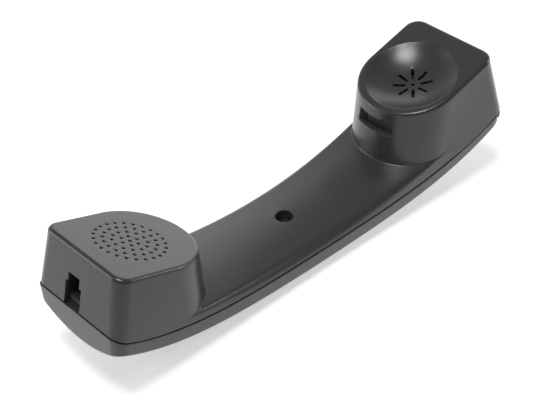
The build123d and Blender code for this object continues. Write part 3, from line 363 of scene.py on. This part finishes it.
@dataclass(frozen=True)
class Finish:
    """A plain finish: its colour, gloss, fine grain and the small marks on it."""

    name: str
    colour: Colour
    roughness: float
    metallic: float = 0.0
    ior: float = 1.5
    grain: float = 3000.0
    depth: float = 0.004
    drift: float = 0.12
    drift_scale: float = 30.0
    drift_gloss: float = 0.3
    marks: float = 0.3
    mark_gloss: float = -0.12
    dust: float = 0.0
    dust_colour: Colour = tint(0.32, 0.04)

    def build(self, effects: EffectLibrary) -> bpy.types.Material:
        """Make the material.

        Args:
            effects: The shared effects.

        Returns:
            The material.
        """
        material = bpy.data.materials.new(self.name)
        material.use_nodes = True
        material.diffuse_color = self.colour
        tree = Tree(material.node_tree)
        surface = material.node_tree.nodes["Principled BSDF"]
        surface.inputs["Metallic"].default_value = self.metallic
        surface.inputs["IOR"].default_value = self.ior
        wear = effects.use(tree, Effect.MARKS, Amount=self.marks)
        drift = effects.use(tree, Effect.DRIFT, Scale=self.drift_scale)
        colour = self.pattern(tree, self.toned(tree, drift))
        if self.dust:
            specks = effects.use(tree, Effect.DUST, Amount=self.dust)
            colour = tree.blend(specks, colour, self.dust_colour)
        tree.feed(surface.inputs["Base Color"], colour)
        cloudy = tree.math("MULTIPLY", drift, self.drift * self.drift_gloss)
        gloss = tree.math("ADD", cloudy, self.roughness)
        gloss = tree.math("ADD", gloss, tree.math("MULTIPLY", wear, self.mark_gloss))
        tree.feed(surface.inputs["Roughness"], gloss)
        bump = tree.node("ShaderNodeBump")
        bump.inputs["Strength"].default_value = 1.0
        bump.inputs["Distance"].default_value = self.depth * MM
        height = tree.math("SUBTRACT", self.relief(tree, effects), wear)
        tree.feed(bump.inputs["Height"], height)
        tree.feed(surface.inputs["Normal"], bump.outputs["Normal"])
        self.extra(tree, surface)
        return material

    def toned(self, tree: Tree, drift: Socket) -> Socket:
        """Spread the colour a little lighter and darker with the drift."""
        low = tuple(part * (1 - self.drift) for part in self.colour[:3]) + (1.0,)
        high = tuple(part * (1 + self.drift) for part in self.colour[:3]) + (1.0,)
        return tree.blend(tree.between(drift, (-1.0, 1.0), (0.0, 1.0)), low, high)

    def pattern(self, tree: Tree, colour: Socket) -> Socket:
        """Draw the finish's own pattern into its colour; plain here."""
        return colour

    def relief(self, tree: Tree, effects: EffectLibrary) -> Socket:
        """Give the height of the surface's texture; the shared grain here."""
        return effects.use(tree, Effect.GRAIN, Scale=self.grain)

    def extra(self, tree: Tree, surface: bpy.types.Node) -> None:
        """Set what else the shader needs; nothing here."""


@dataclass(frozen=True)
class TurnedMetal(Finish):
    """Metal with the fine rings that a lathe or a press leaves about an axis."""

    centre: Place = (0.0, 0.0, 0.0)
    tilt: float = 0.0
    ring: float = 9000.0
    ring_depth: float = 0.3

    def relief(self, tree: Tree, effects: EffectLibrary) -> Socket:
        """Rings about the axis, over a little grain."""
        flat = tree.stretch(tree.about(self.centre, self.tilt), (1.0, 1.0, 0.0))
        length = tree.node("ShaderNodeVectorMath", operation="LENGTH")
        tree.feed(length.inputs[0], flat)
        rings = tree.math("SINE", tree.math("MULTIPLY", length.outputs["Value"], self.ring))
        grain = effects.use(tree, Effect.GRAIN, Scale=self.grain)
        return tree.math("ADD", tree.math("MULTIPLY", rings, self.ring_depth), grain)


@dataclass(frozen=True)
class WovenCloth(Finish):
    """Thin acoustic cloth with a plain weave."""

    thread: float = 5200.0
    sheen: float = 0.3

    def relief(self, tree: Tree, effects: EffectLibrary) -> Socket:
        """Threads over and under each other."""
        parts = tree.node("ShaderNodeSeparateXYZ")
        tree.feed(parts.inputs[0], tree.place())
        across = tree.math("SINE", tree.math("MULTIPLY", parts.outputs["X"], self.thread))
        along = tree.math("SINE", tree.math("MULTIPLY", parts.outputs["Y"], self.thread))
        return tree.math("MULTIPLY", across, along)

    def extra(self, tree: Tree, surface: bpy.types.Node) -> None:
        """Give the threads a soft sheen."""
        surface.inputs["Sheen Weight"].default_value = self.sheen


@dataclass(frozen=True)
class WoundWire(Finish):
    """Enamelled wire wound in layers about the receiver's axis."""

    centre: Place = (0.0, 0.0, 0.0)
    tilt: float = 0.0
    turns: float = 32000.0

    def relief(self, tree: Tree, effects: EffectLibrary) -> Socket:
        """Turn beside turn along the axis."""
        parts = tree.node("ShaderNodeSeparateXYZ")
        tree.feed(parts.inputs[0], tree.about(self.centre, self.tilt))
        wave = tree.math("SINE", tree.math("MULTIPLY", parts.outputs["Z"], self.turns))
        return tree.math("ABSOLUTE", wave)


@dataclass(frozen=True)
class PrintedBoard(Finish):
    """Circuit board: solder mask over raised copper tracks."""

    track_colour: Colour = (0.05, 0.2, 0.08, 1.0)
    pitch: float = 420.0
    track_width: float = 0.09
    track_length: float = 1.6
    track_spacing: float = 0.7
    weave_depth: float = 0.2

    def tracks(self, tree: Tree) -> Socket:
        """Mask of the copper tracks under the solder mask."""
        lines = tree.node("ShaderNodeTexBrick")
        tree.feed(lines.inputs["Vector"], tree.place())
        lines.inputs["Scale"].default_value = self.pitch
        lines.inputs["Mortar Size"].default_value = self.track_width
        lines.inputs["Brick Width"].default_value = self.track_length
        lines.inputs["Row Height"].default_value = self.track_spacing
        return lines.outputs["Fac"]

    def pattern(self, tree: Tree, colour: Socket) -> Socket:
        """Show the tracks as a lighter green."""
        return tree.blend(self.tracks(tree), colour, self.track_colour)

    def relief(self, tree: Tree, effects: EffectLibrary) -> Socket:
        """Raise the tracks a little above the board."""
        weave = effects.use(tree, Effect.GRAIN, Scale=self.grain)
        return tree.math("ADD", tree.math("MULTIPLY", weave, self.weave_depth), self.tracks(tree))


@dataclass(frozen=True)
class GlossyFilm(Finish):
    """Thin plastic film, a little clear in life, drawn here as opaque with a glossy top coat."""

    coat: float = 0.5

    def extra(self, tree: Tree, surface: bpy.types.Node) -> None:
        """Give the film its glossy top."""
        surface.inputs["Coat Weight"].default_value = self.coat


@dataclass
class Bench:
    """Dresses the frame's nodes and the pieces made for them, and keeps the shared effects."""

    effects: EffectLibrary = field(default_factory=EffectLibrary)
    weld: float = 0.0001

    def dress(self, name: str, finish: Finish) -> None:
        """Give a node of the frame its finish.

        Args:
            name: The node.
            finish: Its finish.
        """
        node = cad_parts[name]
        material = finish.build(self.effects)
        for slot in node.material_slots:
            slot.material = material
        LOG.info("%s: %s", name, finish.name)

    def middle(self, name: str) -> Place:
        """Give the middle of a node's box, in metres."""
        low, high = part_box(name)
        return tuple((first + second) / 2 for first, second in zip(low, high))

    def welded(self, name: str) -> bmesh.types.BMesh:
        """Give a copy of a node's mesh with its faces joined at their corners."""
        mesh = bmesh.new()
        mesh.from_mesh(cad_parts[name].data)
        bmesh.ops.remove_doubles(mesh, verts=mesh.verts, dist=self.weld * MM)
        mesh.normal_update()
        return mesh

    def islands(self, mesh: bmesh.types.BMesh) -> list[list[bmesh.types.BMFace]]:
        """Split a mesh's faces into the solids that they belong to.

        Args:
            mesh: A welded mesh.

        Returns:
            The faces of each solid, in order of their lowest corner along Y.
        """
        mesh.faces.ensure_lookup_table()
        left = set(mesh.faces)
        found = []
        for first in mesh.faces:
            if first not in left:
                continue
            left.discard(first)
            island, waiting = [first], [first]
            while waiting:
                face = waiting.pop()
                near = {other for edge in face.edges for other in edge.link_faces if other in left}
                left -= near
                island += near
                waiting += near
            found.append(island)
        return sorted(found, key=self.lowest)

    def lowest(self, island: list[bmesh.types.BMFace]) -> float:
        """Give the lowest Y of some faces."""
        return min(corner.co.y for face in island for corner in face.verts)

    def add(self, name: str, mesh: bmesh.types.BMesh, finishes: Iterable[Finish]) -> bpy.types.Object:
        """Make a piece from a mesh, smooth and dressed.

        Args:
            name: The piece's name.
            mesh: Its mesh, which is freed.
            finishes: The finishes of its material indices.

        Returns:
            The piece, on no body yet.
        """
        data = bpy.data.meshes.new(name)
        mesh.to_mesh(data)
        mesh.free()
        drop_imported_normals(data)
        for face in data.polygons:
            face.use_smooth = True
        for finish in finishes:
            data.materials.append(finish.build(self.effects))
        piece = bpy.data.objects.new(name, data)
        bpy.context.scene.collection.objects.link(piece)
        LOG.info("%s: %d faces", name, len(data.polygons))
        return piece


@dataclass
class MouldedShells:
    """The two moulded shells, with their outer edges rounded as the mould leaves them.

    Lengths and boxes are in millimetres.
    """

    plastic: Finish = Finish(
        "shell_plastic_satin", tint(0.034, 0.03), 0.28, dust=0.15, drift=0.06, marks=0.08, depth=0.002
    )
    edge_angle: float = 28.0
    edge_round: float = 0.32
    crease_round: float = 0.45
    crease_heights: Range = (14.0, 32.5)
    hole_round: float = 0.12
    slots: Box = ((46.0, -13.0, 40.0), (74.0, 13.0, 56.0))
    jack_opening: Box = ((-104.0, -7.0, 3.0), (-90.0, 7.0, 21.0))
    segments: int = 3
    profile: float = 0.5
    flat_face_weight: int = 80
    step_off: float = 0.02
    outside: BVHTree | None = None

    def build(self, bench: Bench) -> None:
        """Round both shells and dress them.

        Args:
            bench: What dresses them.
        """
        material = self.plastic.build(bench.effects)
        nodes = [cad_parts[name] for name in ("front_housing", "back_cover")]
        self.outside = self.tree_of(nodes)
        for node in nodes:
            shell = self.softened(bench, node.name)
            shell.data.materials.append(material)
            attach(shell, CASING)
            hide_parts(node.name)
            LOG.info("%s: %d faces", shell.name, len(shell.data.polygons))

    def tree_of(self, nodes: Iterable[bpy.types.Object]) -> BVHTree:
        """Join the meshes of some nodes into one tree for ray casts."""
        points: list[Vector] = []
        faces: list[list[int]] = []
        for node in nodes:
            base = len(points)
            points += [vertex.co.copy() for vertex in node.data.vertices]
            faces += [[base + index for index in face.vertices] for face in node.data.polygons]
        return BVHTree.FromPolygons(points, faces)

    def in_open_air(self, face: bmesh.types.BMFace) -> bool:
        """Tell whether a ray straight out of a face meets neither shell."""
        start = face.calc_center_median() + face.normal * self.step_off * MM
        return self.outside.ray_cast(start, face.normal)[0] is None

    def outer_edges(self, mesh: bmesh.types.BMesh) -> list[bmesh.types.BMEdge]:
        """Find the sharp edges that border a face on the outside."""
        least = math.radians(self.edge_angle)
        open_air: dict[int, bool] = {}
        found = []
        for edge in mesh.edges:
            if len(edge.link_faces) != 2 or edge.calc_face_angle() < least:
                continue
            for face in edge.link_faces:
                if face.index not in open_air:
                    open_air[face.index] = self.in_open_air(face)
            if any(open_air[face.index] for face in edge.link_faces):
                found.append(edge)
        return found

    def is_cup_base(self, edge: bmesh.types.BMEdge) -> bool:
        """Tell whether an edge is the crease between a cup's wall and the grip."""
        low, high = self.crease_heights
        height = (edge.verts[0].co.z + edge.verts[1].co.z) / 2 / MM
        return not edge.is_convex and low <= height <= high

    def is_in(self, edge: bmesh.types.BMEdge, *boxes: Box) -> bool:
        """Tell whether the middle of an edge lies in one of some boxes."""
        middle = (edge.verts[0].co + edge.verts[1].co) / 2 / MM
        return any(
            all(low <= part <= high for low, part, high in zip(corner, middle, other))
            for corner, other in boxes
        )

    def rounds(self, mesh: bmesh.types.BMesh) -> tuple[tuple[list[bmesh.types.BMEdge], float], ...]:
        """Sort the outer edges by how much the mould rounds them.

        Args:
            mesh: A shell's welded mesh.

        Returns:
            Groups of edges, each with its radius, in the order that they are rounded in.
        """
        edges = self.outer_edges(mesh)
        least = self.edge_round * MM
        fine = [edge for edge in edges if self.is_in(edge, self.slots, self.jack_opening)]
        taken = set(fine)
        short = fine + [edge for edge in edges if edge.calc_length() < least and edge not in taken]
        taken = set(short)
        long = [edge for edge in edges if edge not in taken]
        creases = [edge for edge in long if self.is_cup_base(edge)]
        ridges = [edge for edge in long if edge.is_convex]
        return (creases, self.crease_round), (ridges, self.edge_round), (short, self.hole_round)

    def softened(self, bench: Bench, name: str) -> bpy.types.Object:
        """Make a copy of a shell with rounded outer edges.

        Args:
            bench: What gives the shell's mesh.
            name: The shell's node.

        Returns:
            The new shell.
        """
        mesh = bench.welded(name)
        for group, radius in self.rounds(mesh):
            alive = [edge for edge in group if edge.is_valid]
            bmesh.ops.bevel(
                mesh, geom=alive, offset=radius * MM, offset_type="OFFSET", segments=self.segments,
                profile=self.profile, affect="EDGES", clamp_overlap=False, material=-1,
            )
        data = bpy.data.meshes.new(f"{name}_moulded")
        mesh.to_mesh(data)
        mesh.free()
        drop_imported_normals(data)
        for face in data.polygons:
            face.use_smooth = True
        shell = bpy.data.objects.new(f"{name}_moulded", data)
        bpy.context.scene.collection.objects.link(shell)
        weighted = shell.modifiers.new("even_normals", "WEIGHTED_NORMAL")
        weighted.keep_sharp = True
        weighted.weight = self.flat_face_weight
        data.set_sharp_from_angle(angle=math.radians(self.edge_angle))
        return shell


@dataclass
class GripFastening:
    """The grip screw in its well, and the ballast bar on its tape."""

    steel: Colour = tint(0.4, 0.02)
    mill_steel: Colour = tint(0.3, 0.01)
    tape_white: Colour = tint(0.68, 0.05)

    def build(self, bench: Bench) -> None:
        """Dress the screw, the bar and its tape.

        Args:
            bench: What dresses them.
        """
        middle = bench.middle("grip_screw")
        mill = {"metallic": 1.0, "grain": 900.0, "depth": 0.02, "drift": 0.2, "marks": 0.9}
        plated = TurnedMetal("screw_steel_plated", self.steel, 0.32, metallic=1.0, centre=middle)
        bench.dress("grip_screw", plated)
        bench.dress("ballast_bar", Finish("ballast_mill_steel", self.mill_steel, 0.45, **mill))
        bench.dress("ballast_tape", Finish("foam_tape", self.tape_white, 0.8, grain=1600.0, depth=0.03))


@dataclass
class Receiver:
    """The receiver capsule under the ear dish, with its cloth, seal and retainer."""

    tilt: float = -16.5
    cloth_black: Colour = tint(0.012)
    foam_black: Colour = tint(0.03)
    cap_black: Colour = tint(0.025)
    frame_black: Colour = tint(0.03)
    plated: Colour = tint(0.5, 0.02)
    nickel: Colour = tint(0.62, 0.04)
    copper: Colour = (0.72, 0.3, 0.12, 1.0)
    film: Colour = (0.5, 0.43, 0.28, 1.0)
    laminate: Colour = (0.2, 0.13, 0.05, 1.0)
    laminate_track: Colour = (0.42, 0.2, 0.07, 1.0)
    epoxy_blue: Colour = (0.03, 0.09, 0.3, 1.0)

    def build(self, bench: Bench) -> None:
        """Dress every piece of the receiver.

        Args:
            bench: What dresses them.
        """
        centre = bench.middle("receiver_magnet")
        metal = {"metallic": 1.0, "centre": centre, "tilt": math.radians(self.tilt)}
        bench.dress("receiver_cloth", WovenCloth("receiver_cloth_black", self.cloth_black, 0.9, depth=0.06))
        bench.dress("receiver_seal", Finish("seal_foam", self.foam_black, 0.85, grain=1500.0, depth=0.06))
        bench.dress("receiver_cap", Finish("cap_plastic", self.cap_black, 0.42))
        bench.dress("receiver_surround", GlossyFilm("surround_film", self.film, 0.3, depth=0.002))
        bench.dress("receiver_dome", GlossyFilm("dome_film", self.film, 0.25, depth=0.002))
        bench.dress("voice_coil", WoundWire("coil_enamel", self.copper, 0.3, depth=0.05, **metal))
        bench.dress("receiver_pole_plate", TurnedMetal("pole_plated", self.plated, 0.3, **metal))
        bench.dress("receiver_magnet", TurnedMetal("magnet_nickel_plate", self.nickel, 0.2, **metal))
        bench.dress("receiver_yoke", TurnedMetal("yoke_plated", self.plated, 0.33, **metal))
        bench.dress("receiver_frame", Finish("frame_plastic", self.frame_black, 0.5))
        board = PrintedBoard("receiver_laminate", self.laminate, 0.4, track_colour=self.laminate_track)
        bench.dress("receiver_board", board)
        epoxy = Finish("suppressor_epoxy", self.epoxy_blue, 0.18, grain=900.0, depth=0.01)
        bench.dress("surge_suppressor", epoxy)
        bench.dress("receiver_retainer", Finish("retainer_plastic", self.frame_black, 0.45))
        bench.dress("retainer_screws", Finish("small_screw_plated", self.plated, 0.32, metallic=1.0))


@dataclass
class Microphone:
    """The microphone capsule in its boot under the mouthpiece holes."""

    tilt: float = 18.1
    cloth_black: Colour = tint(0.012)
    rubber: Colour = tint(0.028)
    felt: Colour = tint(0.02)
    aluminium: Colour = tint(0.62)
    laminate: Colour = (0.03, 0.12, 0.04, 1.0)
    track: Colour = (0.06, 0.22, 0.08, 1.0)

    def build(self, bench: Bench) -> None:
        """Dress every piece of the microphone.

        Args:
            bench: What dresses them.
        """
        metal = {"metallic": 1.0, "centre": bench.middle("mic_can"), "tilt": math.radians(self.tilt)}
        board = {"track_colour": self.track, "pitch": 700.0}
        bench.dress("mic_cloth", WovenCloth("mic_cloth_black", self.cloth_black, 0.9, depth=0.06))
        bench.dress("mic_boot", Finish("boot_rubber_matte", self.rubber, 0.65, grain=2200.0, depth=0.008))
        bench.dress("mic_felt", WovenCloth("mic_felt_black", self.felt, 0.95, thread=9000.0, depth=0.08))
        bench.dress("mic_can", TurnedMetal("can_drawn", self.aluminium, 0.3, **metal))
        bench.dress("mic_board", PrintedBoard("mic_laminate", self.laminate, 0.35, **board))


@dataclass
class CordJack:
    """The jack in the mouth end: body, sprung contacts and board."""

    black: Colour = tint(0.012, 0.02)
    gold: Colour = (0.78, 0.5, 0.18, 1.0)
    laminate: Colour = (0.02, 0.1, 0.035, 1.0)
    track: Colour = (0.045, 0.2, 0.07, 1.0)

    def build(self, bench: Bench) -> None:
        """Dress the jack's pieces.

        Args:
            bench: What dresses them.
        """
        bench.dress("jack_body", Finish("jack_black", self.black, 0.6))
        gold = Finish("contact_gold_plate", self.gold, 0.22, metallic=1.0, depth=0.001)
        bench.dress("jack_contacts", gold)
        board = PrintedBoard("jack_laminate", self.laminate, 0.35, track_colour=self.track)
        bench.dress("jack_board", board)


@dataclass(frozen=True)
class Joint:
    """Where leads are soldered: the board, how near they come to it, and the foot's radius, in mm."""

    board: str
    reach: float = 0.3
    radius: float = 0.75


@dataclass
class Wiring:
    """The leads inside the shell, each conductor in its own colour, and their solder joints."""

    red: Colour = (0.42, 0.02, 0.015, 1.0)
    green: Colour = (0.02, 0.2, 0.05, 1.0)
    yellow: Colour = (0.6, 0.4, 0.03, 1.0)
    black: Colour = tint(0.018)
    white: Colour = tint(0.65, 0.03)
    tin: Colour = tint(0.55)
    sheath_gloss: float = 0.35
    joint_height: float = 0.6
    joint_top: float = 0.3
    joint_rings: int = 6
    joint_sides: int = 20

    def build(self, bench: Bench) -> None:
        """Colour the leads and solder them to their boards.

        Args:
            bench: What dresses them.
        """
        four = (self.black, self.red, self.green, self.yellow)
        plan = {
            "receiver_leads": ((self.white, self.green), (Joint("receiver_board"), Joint("jack_board"))),
            "mic_leads": ((self.black, self.red), (Joint("mic_board"), Joint("jack_board"))),
            "jack_leads": (four, (Joint("jack_board", reach=0.65, radius=0.45),)),
        }
        for name, (colours, joints) in plan.items():
            self.colour(bench, name, colours)
            for joint in joints:
                self.solder(bench, name, joint)

    def colour(self, bench: Bench, name: str, colours: tuple[Colour, ...]) -> None:
        """Replace a node of leads by a piece with a colour for each conductor.

        Args:
            bench: What makes the piece.
            name: The node.
            colours: The colours, from the lowest Y up.
        """
        mesh = bench.welded(name)
        for number, island in enumerate(bench.islands(mesh)):
            for face in island:
                face.material_index = number % len(colours)
        finishes = [
            Finish(f"{name}_sheath_{number}", colour, self.sheath_gloss, depth=0.002)
            for number, colour in enumerate(colours)
        ]
        piece = bench.add(f"{name}_coloured", mesh, finishes)
        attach(piece, CASING)
        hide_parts(name)

    def solder(self, bench: Bench, name: str, joint: Joint) -> None:
        """Put a solder joint wherever a lead of a node meets a board.

        Args:
            bench: What makes the piece.
            name: The node of leads.
            joint: The board and the joint's size.
        """
        leads = bench.welded(name)
        plate = bench.welded(joint.board)
        surface = BVHTree.FromBMesh(plate)
        joints = bmesh.new()
        for island in bench.islands(leads):
            corners = {corner for face in island for corner in face.verts}
            near = [surface.find_nearest(corner.co, joint.reach * MM) for corner in corners]
            touching = [(place, normal) for place, normal, _, _ in near if place is not None]
            if not touching:
                continue
            middle = sum((place for place, _ in touching), Vector()) / len(touching)
            facing = sum((normal for _, normal in touching), Vector()).normalized()
            self.raise_joint(joints, middle, facing, joint.radius)
        leads.free()
        plate.free()
        tin = Finish(f"solder_{name}_{joint.board}", self.tin, 0.25, metallic=1.0)
        piece = bench.add(f"{name}_on_{joint.board}", joints, [tin])
        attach(piece, CASING)

    def raise_joint(self, mesh: bmesh.types.BMesh, middle: Vector, facing: Vector, foot: float) -> None:
        """Add one solder joint, a small hollow-sided cone.

        Args:
            mesh: The mesh that it goes into.
            middle: The middle of its foot, on the board.
            facing: The board's normal there.
            foot: The radius of its foot, in millimetres.
        """
        turn = facing.to_track_quat("Z", "Y").to_matrix().to_4x4()
        place = Matrix.Translation(middle) @ turn
        rows = []
        for ring in range(self.joint_rings + 1):
            share = ring / self.joint_rings
            radius = self.joint_top + (foot - self.joint_top) * (1 - share) ** 2
            height = self.joint_height * share
            row = []
            for side in range(self.joint_sides):
                angle = 2 * math.pi * side / self.joint_sides
                spot = Vector((radius * math.cos(angle), radius * math.sin(angle), height)) * MM
                row.append(mesh.verts.new(place @ spot))
            rows.append(row)
        for low, high in zip(rows, rows[1:]):
            for side in range(self.joint_sides):
                after = (side + 1) % self.joint_sides
                mesh.faces.new((low[side], low[after], high[after], high[side]))
        mesh.faces.new(list(reversed(rows[0])))
        mesh.faces.new(rows[-1])


@dataclass(frozen=True)
class Softbox:
    """A square lamp: where it hangs and what it points at, its side in metres and its power in watts."""

    name: str
    place: Place
    side: float
    power: float
    target: Place = (0.0, 0.0, 0.02)


@dataclass
class Studio:
    """Pale studio floor, soft lamps and the camera at the photograph's viewing angle.

    The camera's place and target are in millimetres, and the rest is in metres.
    """

    camera_place: Place = (-284.2, -288.85, 340.17)
    camera_target: Place = (-5.66, 0.0, 23.43)
    camera_roll: float = -0.09
    lens: float = 88.15
    sensor: float = 36.0
    shift: tuple[float, float] = (-0.0052, 0.0008)
    sight: Range = (0.01, 20.0)
    floor_size: float = 4.0
    floor_tone: float = 0.8
    floor_glow: float = 0.5
    floor_shine: float = 0.75
    floor_roughness: float = 0.9
    shine_reach: Range = (-0.3, 0.1)
    back: Place = (0.7, 0.7, 0.0)
    sky_low: float = 0.85
    sky_high: float = 0.3
    sky_rise: Range = (0.1, 0.6)
    sky_front: float = 0.25
    sky_turn: Range = (-0.5, 0.5)
    lamps: tuple[Softbox, ...] = (
        Softbox("overhead_softbox", (-0.3, -0.1, 1.15), side=0.4, power=8.5, target=(0.0, 0.0, 0.0)),
        Softbox("right_softbox", (1.05, -0.5, 0.55), side=0.22, power=2.6),
        Softbox("back_softbox", (1.0, 0.75, 0.5), side=0.9, power=2.5),
        Softbox("left_softbox", (-0.8, 0.85, 0.4), side=0.7, power=5.0),
    )

    def build(self) -> None:
        """Make the camera, floor, lamps and world."""
        self.make_camera()
        self.make_floor()
        self.make_world()
        for softbox in self.lamps:
            self.hang(softbox)
        bpy.context.scene.view_settings.view_transform = "Standard"

    def make_camera(self) -> None:
        """Place the camera."""
        data = bpy.data.cameras.new("product_camera")
        data.lens = self.lens
        data.sensor_width = self.sensor
        data.shift_x, data.shift_y = self.shift
        data.clip_start, data.clip_end = self.sight
        camera = bpy.data.objects.new("product_camera", data)
        bpy.context.scene.collection.objects.link(camera)
        place = Vector(self.camera_place) * MM
        aim = (Vector(self.camera_target) * MM - place).to_track_quat("-Z", "Y").to_matrix()
        roll = Matrix.Rotation(math.radians(self.camera_roll), 3, "Z")
        camera.matrix_world = Matrix.Translation(place) @ (aim @ roll).to_4x4()
        bpy.context.scene.camera = camera

    def make_floor(self) -> None:
        """Lay the floor, white to the camera but for the handset's shadow."""
        half = self.floor_size / 2
        data = bpy.data.meshes.new("studio_floor")
        corners = [(-half, -half, 0), (half, -half, 0), (half, half, 0), (-half, half, 0)]
        data.from_pydata(corners, [], [(0, 1, 2, 3)])
        floor = bpy.data.objects.new("studio_floor", data)
        bpy.context.scene.collection.objects.link(floor)
        material = bpy.data.materials.new("studio_paper")
        material.use_nodes = True
        tree = Tree(material.node_tree)
        surface = material.node_tree.nodes["Principled BSDF"]
        surface.inputs["Base Color"].default_value = tint(self.floor_tone)
        surface.inputs["Roughness"].default_value = self.floor_roughness
        surface.inputs["Emission Color"].default_value = WHITE
        path = tree.node("ShaderNodeLightPath")
        seen = tree.math("MULTIPLY", path.outputs["Is Camera Ray"], self.floor_glow)
        lit = tree.between(self.toward_back(tree, tree.place()), self.shine_reach, (0.0, self.floor_shine))
        mirrored = tree.math("MULTIPLY", path.outputs["Is Glossy Ray"], lit)
        tree.feed(surface.inputs["Emission Strength"], tree.math("ADD", seen, mirrored))
        data.materials.append(material)

    def toward_back(self, tree: Tree, vector: Socket) -> Socket:
        """Give how far a place or a direction lies toward the back of the studio."""
        made = tree.node("ShaderNodeVectorMath", operation="DOT_PRODUCT")
        tree.feed(made.inputs[0], vector)
        made.inputs[1].default_value = self.back
        return made.outputs["Value"]

    def make_world(self) -> None:
        """Light the room softly, most near the horizon; the camera and clear pieces see it white."""
        world = bpy.data.worlds.new("studio_room")
        bpy.context.scene.world = world
        world.use_nodes = True
        tree = Tree(world.node_tree)
        path = tree.node("ShaderNodeLightPath")
        white = tree.math("MAXIMUM", path.outputs["Is Camera Ray"], path.outputs["Is Transmission Ray"])
        direction = tree.node("ShaderNodeTexCoord").outputs["Generated"]
        parts = tree.node("ShaderNodeSeparateXYZ")
        tree.feed(parts.inputs[0], direction)
        height = tree.between(parts.outputs["Z"], self.sky_rise, (self.sky_low, self.sky_high))
        depth = tree.between(self.toward_back(tree, direction), self.sky_turn, (self.sky_front, 1.0))
        sky = tree.math("MULTIPLY", height, depth)
        background = world.node_tree.nodes["Background"]
        background.inputs["Color"].default_value = WHITE
        tree.feed(background.inputs["Strength"], tree.math("MAXIMUM", white, sky))

    def hang(self, softbox: Softbox) -> None:
        """Hang a softbox and turn it to its target."""
        data = bpy.data.lights.new(softbox.name, "AREA")
        data.size = softbox.side
        data.energy = softbox.power
        lamp = bpy.data.objects.new(softbox.name, data)
        bpy.context.scene.collection.objects.link(lamp)
        lamp.location = softbox.place
        aim = Vector(softbox.target) - Vector(softbox.place)
        lamp.rotation_euler = aim.to_track_quat("-Z", "Y").to_euler()


def main() -> None:
    """Build the handset's looks and the studio round it."""
    logging.basicConfig(level=logging.INFO, format="%(name)s: %(message)s")
    bench = Bench()
    MouldedShells().build(bench)
    GripFastening().build(bench)
    Receiver().build(bench)
    Microphone().build(bench)
    CordJack().build(bench)
    Wiring().build(bench)
    Studio().build()


if __name__ == "__main__":
    main()
